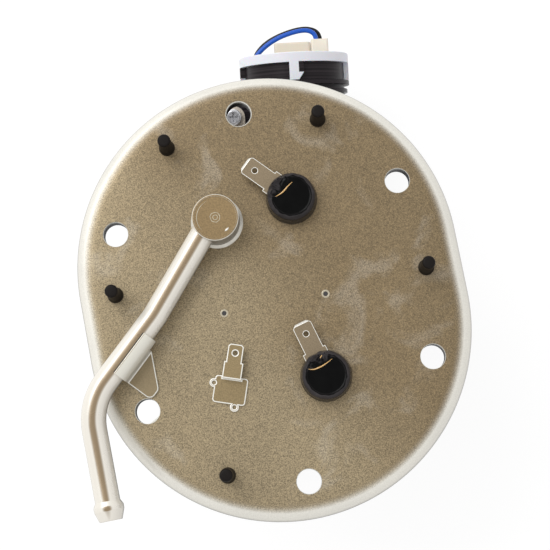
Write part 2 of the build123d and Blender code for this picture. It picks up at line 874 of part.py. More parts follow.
def hanger_bracket():
    """Spot-welded foot, leg and strip of bent sheet steel."""
    rear = Vector(*pump_point(ear_top, -ear_side, -strip_rear))
    half = leg_width / 2
    front = max(rear.Y + bracket_sheet, weld_y + foot_margin)
    reach = weld_x + foot_margin
    foot = block(-reach, reach, weld_y - foot_margin, front, seat_z - bracket_sheet, seat_z)
    foot = fillet(foot.edges().filter_by(Axis.Z), foot_corner)
    leg = block(rear.X - half, rear.X + half, rear.Y, rear.Y + bracket_sheet, rear.Z, seat_z)
    bracket = foot + leg + on_pump(strip_solid())
    for station in ear_stations:
        hole = screw_place(station) * rod(screw_d, -strip_sheet - over, over)
        bracket -= on_pump(hole)
    return bracket


def bracket_screws():
    """Two pan-head screws with cross recesses."""
    screws = []
    for station in ear_stations:
        head = rod(screw_head_d, 0, screw_head_height)
        head = fillet(head.edges().sort_by(Axis.Z)[-1], screw_crown)
        low = screw_head_height - screw_recess_depth
        arm = screw_recess / 2
        cross = block(-arm, arm, -screw_slot / 2, screw_slot / 2, low, screw_head_height + over)
        cross += block(-screw_slot / 2, screw_slot / 2, -arm, arm, low, screw_head_height + over)
        screw = head - cross + rod(screw_d, -screw_length, 0)
        screws.append(on_pump(screw_place(station) * screw))
    return screws


# ---------------------------------------------------------------- cap and holder
def elbow_notch(depth):
    """Room for the outlet elbow through the cap and the holder's top."""
    width = elbow_d + 2 * elbow_notch_gap
    round_end = Rot(0, 90, 0) * Cylinder(width / 2, cap_d, align=MIN)
    slot = Pos(0, 0, elbow_height) * round_end
    slot += block(0, cap_d, -width / 2, width / 2, elbow_height, elbow_height + depth)
    return turned(elbow_turn) * slot


def retaining_cap():
    """White snap-on cap: a band and four barbed arms."""
    cap = ring(cap_d, cap_opening_d, -cap_band, 0)
    cap = fillet(cap.edges().sort_by(Axis.Z)[-2:], cap_edge)
    shell = ring(cap_d, cap_d - 2 * arm_thickness, -rim_one_top, -cap_band)
    half = arm_width / 2
    outer = cap_d / 2
    for angle in (0, 90, 180, 270):
        arm = block(0, outer + over, -half, half, -rim_one_top, -cap_band)
        barb = Polyline(
            (half, -barb_top),
            (half + barb_reach, -barb_top),
            (half, -barb_top - barb_height),
            (half, -barb_top),
        )
        barb = extrude(Plane.YZ * make_face(barb), outer + over)
        cap += turned(angle) * (shell & (arm + barb))
    return cap - elbow_notch(cap_d)


def pump_holder():
    """Black plastic tube with rims, catches, ribs and two screw ears."""
    holder = rod(holder_d, holder_bottom, holder_top)
    holder += rod(cap_d, -rim_one_top - rim_one_height, -rim_one_top)
    holder += rod(rim_two_d, -rim_two_top - rim_two_height, -rim_two_top)
    for index in range(rib_count):
        low = -rib_first - ear_half_width - index * rib_pitch
        holder += rod(holder_d + 2 * rib_height, low - rib_width, low)
    outer = cap_d / 2
    half = arm_width / 2
    for angle in (0, 90, 180, 270):
        lug_block = block(holder_bore_d / 2, outer + over, half, half + barb_reach, -barb_top, -cap_band)
        lug_block &= rod(cap_d, -barb_top, -cap_band)
        holder += turned(angle) * lug_block
    pillar_d = screw_d + 2 * pillar_wall
    for station in ear_stations:
        inner = -(holder_d / 2 - holder_wall)
        left = -ear_side - ear_half_width
        ear = block(ear_top - ear_height, ear_top, left, inner, -station - ear_half_width,
                    -station + ear_half_width)
        pillar = screw_place(station) * rod(pillar_d, -strip_sheet - screw_length, -strip_sheet)
        holder += ear + pillar
    holder -= rod(holder_bore_d, holder_bottom + holder_floor, holder_top + over)
    holder -= rod(inlet_nipple_d + 2 * inlet_gap, holder_bottom - over, holder_top, -nipple_offset, 0)
    for station in ear_stations:
        holder -= screw_place(station) * rod(screw_d, -strip_sheet - screw_length, over)
    holder -= elbow_notch(cap_d)
    slot_low = holder_top - wire_slot_depth
    half = wire_slot_width / 2
    slot = block(holder_bore_d / 4, holder_d, -half, half, slot_low, holder_top + over)
    holder -= turned(wire_slot_turn) * slot
    return holder


def pump_sleeve():
    """Rubber sleeve and foot between the pump and its holder."""
    floor = holder_bottom + holder_floor
    sleeve = ring(holder_bore_d, case_d, floor, -sleeve_top)
    foot = ring(case_d, case_bore_d - 2 * case_lip, floor, case_bottom)
    return sleeve + foot


# ---------------------------------------------------------------- pump
def pump_case():
    """Steel tube with both ends rolled in."""
    case = ring(case_d, case_bore_d, case_bottom, -case_top)
    lip_d = case_bore_d - 2 * case_lip
    case += ring(case_bore_d, lip_d, case_bottom, cover_bottom)
    case += ring(case_bore_d, lip_d, head_body_top, -case_top)
    outer_edges = case.edges().filter_by(GeomType.CIRCLE).sort_by(SortBy.RADIUS)
    big = [edge for edge in outer_edges if abs(edge.radius - case_d / 2) < match]
    return fillet(big, case_edge)


def inlet_cover():
    """Pump cover with the inlet nipple."""
    cover = rod(case_bore_d, cover_bottom, cover_top)
    cover += rod(inlet_nipple_d, nipple_bottom, cover_bottom, -nipple_offset, 0)
    cover -= rod(inlet_bore_d, nipple_bottom - over, cover_top + over, -nipple_offset, 0)
    cover -= rod(shaft_d + 2 * running_gap, cover_top - shaft_recess, cover_top + over)
    return cover


def pump_body():
    """Pump body with the impeller's pocket and an outlet port."""
    body = rod(case_bore_d, cover_top, body_top)
    body -= rod(impeller_d + 2 * running_gap, cover_top - over, pocket_top)
    body -= rod(bush_d, pocket_top - over, body_top + over)
    body -= rod(port_d, pocket_top - over, body_top + over, port_side, 0)
    return body


def bush(low):
    """Sintered bearing bush."""
    return ring(bush_d, shaft_d + 2 * shaft_gap, low, low + bush_length)


def impeller():
    """Impeller with vane pockets around its rim."""
    low = cover_top + running_gap
    high = low + impeller_thickness
    wheel = ring(impeller_d, shaft_d, low, high)
    inner = impeller_d / 2 - impeller_vane_depth - impeller_rim
    half = impeller_vane_width / 2
    for index in range(impeller_vanes):
        step = turned(index * 360 / impeller_vanes)
        for base in (low - over, high - impeller_vane_height):
            top = base + impeller_vane_height + over
            wheel -= step * block(inner, inner + impeller_vane_depth, -half, half, base, top)
    return wheel


def armature_core():
    """Slotted lamination stack."""
    core = ring(core_d, shaft_d, core_low, core_high)
    for index in range(core_slots):
        step = turned(index * 360 / core_slots)
        half = core_slot_width / 2
        inner = core_d / 2 - core_slot_depth
        core -= step * block(inner, core_d, -half, half, core_low - over, core_high + over)
    return core


def armature_windings():
    """Coil ends and the wire in the slots."""
    coils = ring(winding_d, shaft_d, core_low - winding_length, core_low)
    coils += ring(winding_d, shaft_d, core_high, core_high + winding_length)
    for index in range(core_slots):
        step = turned(index * 360 / core_slots)
        half = core_slot_width / 2
        inner = core_d / 2 - core_slot_depth
        coils += step * block(inner, winding_d / 2, -half, half, core_low, core_high)
    outer = [edge for edge in coils.edges().filter_by(GeomType.CIRCLE)
             if abs(edge.radius - winding_d / 2) < match
             and min(abs(edge.center().Z - core_low + winding_length),
                     abs(edge.center().Z - core_high - winding_length)) < match]
    return fillet(outer, winding_edge)


def commutator():
    """Face commutator with copper bars."""
    body = ring(commutator_d, shaft_d, commutator_low - commutator_step, commutator_top)
    half = commutator_cut / 2
    low = commutator_top - commutator_cut_depth
    for index in range(commutator_bars):
        step = turned((index + 0.5) * 360 / commutator_bars)
        body -= step * block(shaft_d, commutator_d, -half, half, low, commutator_top + over)
    return body


def rotor_shaft():
    """Shaft from the inlet cover to the outlet head."""
    return rod(shaft_d, cover_top - shaft_entry, upper_bush_low + bush_length - shaft_end_gap)


def magnet(angle):
    """Arc magnet against the case."""
    outer = case_bore_d
    inner = core_d + 2 * magnet_gap
    low = (core_low + core_high - magnet_length) / 2
    shell = ring(outer, inner, low, low + magnet_length)
    half = math.radians(magnet_arc / 2)
    far = outer
    wedge = Polyline(
        (0, 0),
        (far * math.cos(half), far * math.sin(half)),
        (far, far),
        (far * 2, 0),
        (far, -far),
        (far * math.cos(half), -far * math.sin(half)),
        (0, 0),
    )
    keep = Pos(0, 0, low - over) * extrude(make_face(wedge), magnet_length + 2 * over)
    return turned(angle) * (shell & keep)


def magnet_clips():
    """Two spring clips between the magnets."""
    clips = []
    low = (core_low + core_high - magnet_length) / 2
    shell = ring(case_bore_d, case_bore_d - 2 * clip_thickness, low, low + magnet_length)
    half = case_bore_d / 2 * math.sin(math.radians(clip_arc / 2))
    for angle in (90, 270):
        keep = block(0, case_bore_d, -half, half, low - over, low + magnet_length + over)
        clips.append(turned(angle) * (shell & keep))
    return clips


# ---------------------------------------------------------------- outlet head and valves
def elbow_leg():
    """Radial run of the outlet elbow, from inside the head's block."""
    return Pos(0, 0, elbow_height) * Rot(0, 90, 0)


def outlet_head():
    """Moulded outlet head with brush guides, valve chambers and the outlet's block."""
    head = rod(case_bore_d, head_body_bottom, head_body_top)
    head += rod(head_neck_d, head_body_top, -head_neck_top)
    outlet = block(-head_block_low, head_block_high, -head_block_left, head_block_right,
                   -head_neck_top, head_block_top)
    outlet = fillet(outlet.edges().filter_by(Axis.Z), head_block_corner)
    head += fillet(outlet.edges().group_by(Axis.Z)[-1], head_block_edge)
    head -= rod(bush_d, head_body_bottom - over, upper_bush_low + bush_length)
    bore_d = brush_d + 2 * brush_clearance
    for side in (-1, 1):
        head -= rod(bore_d, head_body_bottom - over, brush_bore_top, side * brush_side, 0)
    head -= rod(check_seat_d, head_body_bottom - over, valve_seat + over, 0, -check_side)
    chamber_top = check_port_z + check_port_d / 2 + check_headroom
    head -= rod(check_chamber_d, valve_seat, chamber_top, 0, -check_side)
    head -= rod(relief_seat_d, head_body_bottom - over, valve_seat + over, relief_high, 0)
    head -= rod(relief_chamber_d, valve_seat, over - head_neck_top, relief_high, 0)
    port = Pos(0, 0, check_port_z) * Rot(90, 0, 0) * Cylinder(check_port_d / 2, check_side, align=MIN)
    riser = rod(riser_d, check_port_z - riser_foot, elbow_height)
    junction = Pos(0, 0, elbow_height) * Sphere(riser_top_d / 2)
    head -= port + riser + junction
    socket = elbow_leg() * rod(elbow_d, elbow_socket, cap_d)
    socket += elbow_leg() * rod(elbow_bore_d, 0, elbow_socket + over)
    head -= turned(elbow_turn) * socket
    for contact in pump_contacts():
        head -= contact
    return head


def outlet_elbow():
    """Moulded elbow from the head, over the cap and down beside the holder."""
    corner = (elbow_reach, 0, elbow_height)
    path = FilletPolyline(
        (elbow_socket, 0, elbow_height),
        corner,
        (elbow_reach, 0, -elbow_drop),
        radius=elbow_radius,
    )
    elbow = sweep_tube(path, elbow_d, elbow_bore_d)
    barb = Pos(elbow_reach, 0, -elbow_drop) * hose_barb()
    elbow += barb - rod(elbow_bore_d, -elbow_drop - over, 0, elbow_reach, 0)
    return turned(elbow_turn) * elbow


def check_valve_ball():
    """Ball of the outlet check valve."""
    return Pos(0, -check_side, check_ball_z) * Sphere(check_ball_d / 2)


def check_valve_spring():
    """Spring that closes the check valve."""
    radius = check_ball_d * valve_coil_share
    spring = coil(radius, valve_wire, check_spring_low, check_spring_top, check_spring_turns)
    return Pos(0, -check_side, 0) * spring


def relief_valve_ball():
    """Ball of the pressure relief valve."""
    return Pos(relief_high, 0, relief_ball_z) * Sphere(relief_ball_d / 2)


def relief_valve_spring():
    """Spring that sets the relief pressure."""
    radius = relief_ball_d * valve_coil_share
    spring = coil(radius, valve_wire, relief_spring_low, relief_plug_low, relief_spring_turns)
    return Pos(relief_high, 0, 0) * spring


def relief_valve_plug():
    """Pressed plug over the relief spring, with a bleed hole."""
    return ring(relief_chamber_d, relief_seat_d, relief_plug_low, -head_neck_top, relief_high, 0)


def brush(side):
    """Carbon brush."""
    return rod(brush_d, brush_low, brush_top, side * brush_side, 0)


def brush_spring(side):
    """Spring behind a brush."""
    radius = brush_d / 2 - brush_spring_wire
    spring = coil(radius, brush_spring_wire, brush_top, brush_bore_top, brush_spring_turns)
    return Pos(side * brush_side, 0, 0) * spring


# ---------------------------------------------------------------- plug, contacts and wires
def pump_contacts():
    """Two flat contacts from the head into the plug."""
    low = -head_neck_top - contact_depth
    contacts = []
    for up, right in (blue_seat, black_seat):
        contacts.append(block(up - contact_width / 2, up + contact_width / 2,
                              right - contact_sheet / 2, right + contact_sheet / 2,
                              low, plug_top - wire_seat_depth))
    return contacts


def pump_plug():
    """Beige two-way plug on the head."""
    right = plug_left + plug_width
    plug = block(plug_low, plug_high, plug_left, right, -head_neck_top, plug_top)
    plug = fillet(plug.edges().filter_by(Axis.Z), plug_corner)
    split = (blue_seat[0] + black_seat[0]) / 2
    half = plug_split / 2
    low = plug_top - plug_split_depth
    plug -= block(split - half, split + half, plug_left - over, right + over, low, plug_top + over)
    for up, side in (blue_seat, black_seat):
        plug -= rod(wire_d, plug_top - wire_seat_depth, plug_top + over, up, side)
    for contact in pump_contacts():
        plug -= contact
    return plug


def wire_points(seat, route, lug_y, lug_turn):
    """Corners of a wire's axis, from its plug to its lug, in the row frame."""
    points = [pump_point(*seat, plug_top - wire_seat_depth)]
    points += [pump_point(*corner) for corner in route]
    mouth = lug_barrel_start + lug_barrel_length
    points.append(lug_mouth(lug_y, lug_turn, mouth + wire_lead))
    points.append(lug_mouth(lug_y, lug_turn, lug_barrel_start))
    return points


def wire(seat, route, lug_y, lug_turn):
    """Insulated wire."""
    return sweep_tube(routed(wire_points(seat, route, lug_y, lug_turn)), wire_d)


# ---------------------------------------------------------------- hose and clamps
def hose_points():
    """Corners of the hose's axis, from the elbow to the flange's spigot."""
    turn = math.radians(elbow_turn)
    up = elbow_reach * math.cos(turn)
    right = elbow_reach * math.sin(turn)
    start = pump_point(up, right, -elbow_drop + hose_seat)
    straight = pump_point(up, right, hose_straight_end)
    middle = [straight] + [pump_point(*point) for point in hose_route]
    low = seat_z - spigot_length
    below = (boss_x, boss_y, low - hose_rise)
    top = (boss_x, boss_y, low + hose_seat)
    return [start] + middle + [below, top]


def outlet_hose():
    """Rubber hose from the pump's elbow to the flange."""
    hose = sweep_tube(routed(hose_points()), hose_d, elbow_d)
    hose -= outlet_boss()
    hose -= on_pump(outlet_elbow())
    return hose


def clamp_ring():
    """Spring band clamp around Z, with two ears."""
    outer = hose_d + 2 * clamp_thickness
    band = ring(outer, hose_d + 2 * clamp_gap, 0, clamp_width)
    near = clamp_ear_gap / 2
    for low in (near, -near - clamp_ear_sheet):
        inner = hose_d / 2 + clamp_thickness / 2
        band += block(inner, outer / 2 + clamp_ear, low, low + clamp_ear_sheet, 0, clamp_width)
    return band


def hose_clamps():
    """One clamp at each end of the hose."""
    low = seat_z - spigot_length
    upper = Pos(boss_x, boss_y, low + clamp_setback) * Rot(0, 0, clamp_turn) * clamp_ring()
    turn = math.radians(elbow_turn)
    spot = Pos(elbow_reach * math.cos(turn), elbow_reach * math.sin(turn), -elbow_drop + clamp_setback)
    lower = on_pump(spot * Rot(0, 0, elbow_turn) * clamp_ring())
    return [upper, lower]


# ---------------------------------------------------------------- strainer
def bag_point(spot):
    """A point of the bag's outline, in the pump's right and along directions."""
    right, along = spot
    return right, along - strainer_top


def strainer_face(inset=0.0):
    """Outline of the strainer bag in the pump's right and along directions."""
    top = -strainer_top
    corner, middle, tail = bag_point(strainer_corner), bag_point(strainer_mid), bag_point(strainer_tail)
    toe, side = bag_point(strainer_toe), bag_point(strainer_side)
    curve = ThreePointArc(corner, middle, tail)
    rest = Polyline(tail, toe, side, (neck_shoulder, top), (-neck_shoulder, top), corner)
    face = make_face(Curve() + [curve, rest])
    face = fillet(pick(face, corner), strainer_sharp_radius)
    face = fillet(pick(face, toe), strainer_toe_radius)
    face = fillet(pick(face, side), strainer_side_radius)
    face = fillet([v for v in face.vertices() if abs(v.Y - top) < match], strainer_neck_radius)
    if inset:
        face = offset(face, -inset)
    return face


def pick(face, spot):
    """The face's corner at a spot."""
    return [v for v in face.vertices() if (v.center() - Vector(*spot)).length < match]


def strainer_slab(inset, thickness):
    """A flat slab of the strainer's outline, in the pump frame."""
    face = strainer_face(inset)
    slab = extrude(Plane.YZ * face, thickness)
    return Pos(-nipple_offset - thickness / 2, 0, 0) * slab


def strainer_pillow(inset, thickness, edge):
    """The slab with its outer edges rounded."""
    slab = strainer_slab(inset, thickness)
    return fillet(slab.faces().filter_by(Axis.X).edges(), edge)


def strainer_cavity():
    """Room inside the bag's mesh."""
    thickness = strainer_thickness - 2 * strainer_skin
    return strainer_pillow(seam_width + strainer_skin, thickness, thickness * strainer_round)


def strainer_bag():
    """Nylon mesh bag with a welded seam."""
    outer = strainer_pillow(seam_width, strainer_thickness, strainer_thickness * strainer_round)
    bag = outer + strainer_slab(0, seam_thickness) - strainer_cavity()
    low = -strainer_top - neck_into_bag
    return bag - rod(neck_d, low, -strainer_top + over, -nipple_offset, 0)


def strainer_neck():
    """Moulded socket between the inlet nipple and the bag."""
    low = -strainer_top - neck_into_bag
    high = -strainer_top + neck_length
    neck = rod(neck_d, low, high, -nipple_offset, 0)
    flange_top = -strainer_top + neck_flange
    neck += ring(neck_flange_d, neck_d - over, -strainer_top, flange_top, -nipple_offset, 0)
    neck -= rod(inlet_nipple_d, nipple_bottom, high + over, -nipple_offset, 0)
    return neck - rod(inlet_bore_d, low - over, high, -nipple_offset, 0)


def strainer_frame():
    """Moulded spine and ribs that hold the bag open."""
    start = Vector(0, -strainer_top - neck_into_bag)
    spine = Vector(*bag_point(frame_end)) - start
    turn = Pos(-nipple_offset, start.X, start.Y) * Rot(math.degrees(math.atan2(spine.X, -spine.Y)), 0, 0)
    tall = strainer_thickness
    frame = block(-tall / 2, tall / 2, -frame_wall / 2, frame_wall / 2, -spine.length, neck_d / 2)
    reach = abs(strainer_corner[0])
    for station in frame_stations:
        along = -station * spine.length
        frame += block(-tall / 2, tall / 2, -reach, reach, along - frame_wall, along)
    for side in frame_windows:
        frame -= rod(frame_window_d, -spine.length - over, neck_d, 0, side)
    frame = turn * frame
    frame -= rod(2 * reach, start.Y, 0)
    return frame & strainer_cavity()


def upper(shape):
    """Place of the upper terminal's blade side."""
    return terminal_place(upper_terminal_y, upper_blade_turn) * shape


def lower(shape):
    """Place of the lower terminal's blade side."""
    return terminal_place(lower_terminal_y, lower_blade_turn) * shape


# ---------------------------------------------------------------- nodes
save("flange_plate", flange_plate())
save("seal_gasket", seal_gasket())
save("outlet_boss", outlet_boss())
save("outlet_pipe", outlet_pipe())
save("pipe_saddle", pipe_saddle())
save("earth_tab", earth_tab())

save("terminal_insulator_upper", insulator(upper_terminal_y))
save("terminal_insulator_lower", insulator(lower_terminal_y))
save("terminal_blade_upper", upper(blade_shape()))
save("terminal_blade_lower", lower(blade_shape()))
save("potting_upper", upper(resin_shape()))
save("potting_lower", lower(resin_shape()))
save("terminal_stud_upper", upper(stud_shape()))
save("terminal_stud_lower", lower(stud_shape()))
save("inner_bush_upper", inner_bush(upper_terminal_y))
save("inner_bush_lower", inner_bush(lower_terminal_y))
save("ring_lug_upper", lug(upper_terminal_y, upper_lug_turn))
save("ring_lug_lower", lug(lower_terminal_y, lower_lug_turn))
save("terminal_nuts", terminal_nuts())

save("hanger_bracket", hanger_bracket())
save("bracket_screws", bracket_screws())
save("retaining_cap", on_pump(retaining_cap()))
save("pump_holder", on_pump(pump_holder()))
save("pump_sleeve", on_pump(pump_sleeve()))

save("pump_case", on_pump(pump_case()))
save("inlet_cover", on_pump(inlet_cover()))
save("pump_body", on_pump(pump_body()))
save("bearing_bush_lower", on_pump(bush(pocket_top)))
save("bearing_bush_upper", on_pump(bush(upper_bush_low)))
save("magnet_upper", on_pump(magnet(0)))
save("magnet_lower", on_pump(magnet(180)))
save("magnet_clips", [on_pump(clip) for clip in magnet_clips()])

save("impeller", on_pump(impeller()))
save("rotor_shaft", on_pump(rotor_shaft()))
save("armature_core", on_pump(armature_core()))
save("armature_windings", on_pump(armature_windings()))
save("commutator", on_pump(commutator()))

save("outlet_head", on_pump(outlet_head()))
save("outlet_elbow", on_pump(outlet_elbow()))
save("check_valve_ball", on_pump(check_valve_ball()))
save("check_valve_spring", on_pump(check_valve_spring()))
save("relief_valve_ball", on_pump(relief_valve_ball()))
save("relief_valve_spring", on_pump(relief_valve_spring()))
save("relief_valve_plug", on_pump(relief_valve_plug()))
save("carbon_brush_upper", on_pump(brush(1)))
save("carbon_brush_lower", on_pump(brush(-1)))
save("brush_spring_upper", on_pump(brush_spring(1)))
save("brush_spring_lower", on_pump(brush_spring(-1)))

save("pump_contacts", [on_pump(contact) for contact in pump_contacts()])
save("pump_plug", on_pump(pump_plug()))
save("blue_wire", wire(blue_seat, blue_route, upper_terminal_y, upper_lug_turn))
save("black_wire", wire(black_seat, black_route, lower_terminal_y, lower_lug_turn))

save("outlet_hose", outlet_hose())
save("hose_clamps", hose_clamps())
save("strainer_bag", on_pump(strainer_bag()))
save("strainer_neck", on_pump(strainer_neck()))
save("strainer_frame", on_pump(strainer_frame()))

for name, seat, route, lug_y, lug_turn in (
    ("blue wire", blue_seat, blue_route, upper_terminal_y, upper_lug_turn),
    ("black wire", black_seat, black_route, lower_terminal_y, lower_lug_turn),
):
    corners = wire_points(seat, route, lug_y, lug_turn)
    print(name, "length", round(routed(corners).length, 1), "radii",
          [round(radius, 1) for radius in route_radii(corners)])
hose_path = routed(hose_points())
print("outlet hose length", round(hose_path.length, 1), "radii",
      [round(radius, 1) for radius in route_radii(hose_points())])
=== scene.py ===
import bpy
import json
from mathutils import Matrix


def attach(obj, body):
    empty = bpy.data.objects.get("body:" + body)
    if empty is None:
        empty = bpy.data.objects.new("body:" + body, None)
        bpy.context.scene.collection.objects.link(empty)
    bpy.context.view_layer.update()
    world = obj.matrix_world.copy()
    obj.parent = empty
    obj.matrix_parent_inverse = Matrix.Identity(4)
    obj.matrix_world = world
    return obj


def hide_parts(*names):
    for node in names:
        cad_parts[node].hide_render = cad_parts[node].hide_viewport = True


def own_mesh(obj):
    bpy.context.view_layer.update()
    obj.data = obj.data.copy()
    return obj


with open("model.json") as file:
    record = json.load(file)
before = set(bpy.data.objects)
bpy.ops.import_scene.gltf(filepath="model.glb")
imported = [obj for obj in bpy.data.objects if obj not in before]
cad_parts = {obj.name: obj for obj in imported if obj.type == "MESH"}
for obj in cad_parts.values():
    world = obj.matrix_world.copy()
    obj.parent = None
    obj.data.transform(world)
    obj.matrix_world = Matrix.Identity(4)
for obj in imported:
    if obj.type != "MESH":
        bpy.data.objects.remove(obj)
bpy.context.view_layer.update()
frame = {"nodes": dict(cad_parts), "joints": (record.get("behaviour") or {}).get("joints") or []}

"""Looks of an in-tank fuel pump module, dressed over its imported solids.

Sizes in the classes are millimetres in the row frame, except the wire routes, which are metres.
"""

import json
import logging
import math
from contextlib import contextmanager
from dataclasses import dataclass, field
from enum import Enum
from functools import cache
from typing import Callable, Iterator, Mapping, Optional, Sequence

import bmesh
import bpy
from mathutils import Matrix, Vector, geometry, noise

MM = 0.001
ROW = Matrix.Scale(MM, 4)
FLANGE = "flange_group"
TERMINALS = ((11.7, 29.6), (11.7, -28.8))
BOSS = (-13.5, 26.65)
log = logging.getLogger("fuel_pump_module")
Color = tuple[float, float, float]
Point = tuple[float, float, float]
Spot = tuple[float, float]
Face = tuple[int, ...]
Ripple = Callable[[float, float, float], Spot]
Socket = bpy.types.NodeSocket
Sockets = Mapping[str, Socket]
Surface = tuple[dict, Socket, float, float]
Node = bpy.types.Node
Tree = bpy.types.NodeTree
Piece = bpy.types.Object


def srgb(red: int, green: int, blue: int) -> Color:
    """Turn an 8-bit display colour into linear light.

    Args:
        red: 0 to 255.
        green: 0 to 255.
        blue: 0 to 255.

    Returns:
        The linear colour.
    """
    def linear(value: int) -> float:
        """One channel."""
        share = value / 255
        return share / 12.92 if share <= 0.04045 else ((share + 0.055) / 1.055) ** 2.4

    return linear(red), linear(green), linear(blue)


def linked(name: str, data: Optional[bpy.types.ID]) -> Piece:
    """Make an object from its data and put it in the scene."""
    item = bpy.data.objects.new(name, data)
    bpy.context.scene.collection.objects.link(item)
    return item


def bell(value: float, middle: float, width: float) -> float:
    """1 at the middle, falling away to either side."""
    return math.exp(-((value - middle) / width) ** 2)


def round_noise(angle: float, reach: float, seed: float) -> float:
    """Noise around a circle, which closes on itself."""
    return noise.noise(Vector((math.cos(angle) * reach, math.sin(angle) * reach, seed)))


def sides(loop: Sequence[Vector]) -> list[tuple[Vector, Vector]]:
    """Each point of a closed loop with the next one."""
    return list(zip(loop, [*loop[1:], loop[0]]))


def quads(rows: int, count: int, start: int = 0, closed: bool = False,
          looped: bool = True) -> list[Face]:
    """Quads between rows of points that follow each other in a list.

    Args:
        rows: Number of rows.
        count: Points in each row.
        start: Index of the first point.
        closed: Whether the last row joins the first.
        looped: Whether the last point of a row joins its first.

    Returns:
        The faces.
    """
    faces = []
    for row in range(rows if closed else rows - 1):
        here, there = start + row * count, start + (row + 1) % rows * count
        for step in range(count if looped else count - 1):
            after = (step + 1) % count
            faces.append((here + step, here + after, there + after, there + step))
    return faces


@contextmanager
def edited(data: bpy.types.Mesh) -> Iterator[bmesh.types.BMesh]:
    """Open a mesh for editing and write it back afterwards."""
    work = bmesh.new()
    work.from_mesh(data)
    yield work
    work.to_mesh(data)
    work.free()


# ------------------------------------------------------------------------------- node helpers
class Graph:
    """Short calls for building a node tree."""

    def __init__(self, tree: Tree) -> None:
        """Keep the tree whose nodes are made."""
        self.tree = tree

    @classmethod
    def grouped(cls, name: str, inputs: dict[str, str], outputs: dict[str, str],
                kind: str = "ShaderNodeTree") -> tuple["Graph", Sockets, Node]:
        """Start a node group.

        Args:
            name: The group's name.
            inputs: Short socket type of each input, by name.
            outputs: Short socket type of each output, by name.
            kind: The tree's type name.

        Returns:
            The group's graph, what it is given, and its output node.
        """
        graph = cls(bpy.data.node_groups.new(name, kind))
        for way, sockets in (("INPUT", inputs), ("OUTPUT", outputs)):
            for label, short in sockets.items():
                graph.tree.interface.new_socket(label, in_out=way, socket_type=f"NodeSocket{short}")
        return graph, graph.add("NodeGroupInput").outputs, graph.add("NodeGroupOutput")

    def add(self, kind: str, inputs: Optional[dict] = None, **settings: object) -> Node:
        """Make a node.

        Args:
            kind: The node's type name.
            inputs: Values or sockets by input name or index.
            settings: Properties of the node.

        Returns:
            The node.
        """
        node = self.tree.nodes.new(kind)
        for key, value in settings.items():
            setattr(node, key, value)
        self.feed(node, inputs or {})
        return node

    def feed(self, node: Node, inputs: dict) -> None:
        """Link or set a node's inputs; a three-part colour gets its alpha where the input has one.

        Args:
            node: The node.
            inputs: Values or sockets by input name or index.
        """
        for key, value in inputs.items():
            socket = node.inputs[key]
            if isinstance(value, Socket):
                self.tree.links.new(value, socket)
            elif isinstance(value, tuple) and len(value) == 3 and socket.type == "RGBA":
                socket.default_value = (*value, 1.0)
            else:
                socket.default_value = value

    def effect(self, build: Callable[[], Tree], **inputs: object) -> Sockets:
        """Place a shared effect and return what it gives; an input's name has _ for each space."""
        named = {name.replace("_", " "): value for name, value in inputs.items()}
        return self.add("ShaderNodeGroup", named, node_tree=build()).outputs

    def math(self, operation: str, first: object, second: object = 0.0) -> Socket:
        """Combine two values."""
        return self.add("ShaderNodeMath", {0: first, 1: second}, operation=operation).outputs[0]

    def swing(self, value: Socket, reach: object) -> Socket:
        """Turn a share into a swing about zero."""
        return self.math("MULTIPLY", self.math("SUBTRACT", value, 0.5), reach)

    def blend(self, share: object, first: object, second: object, mode: str = "MIX") -> Socket:
        """Mix two colours."""
        inputs = {0: share, 6: first, 7: second}
        return self.add("ShaderNodeMix", inputs, data_type="RGBA", blend_type=mode).outputs[2]

    def range(self, value: Socket, low: object, high: object, to_low: float = 0.0,
              to_high: float = 1.0) -> Socket:
        """Map a value smoothly from one range to another."""
        inputs = {0: value, 1: low, 2: high, 3: to_low, 4: to_high}
        return self.add("ShaderNodeMapRange", inputs, interpolation_type="SMOOTHSTEP").outputs[0]

    def noise(self, vector: Socket, scale: object, detail: float, **more: float) -> Socket:
        """Value of a noise texture."""
        inputs = {"Vector": vector, "Scale": scale, "Detail": detail, **more}
        return self.add("ShaderNodeTexNoise", inputs).outputs[0]

    def split(self, vector: Socket) -> Sequence[Socket]:
        """The three parts of a vector."""
        return self.add("ShaderNodeSeparateXYZ", {0: vector}).outputs


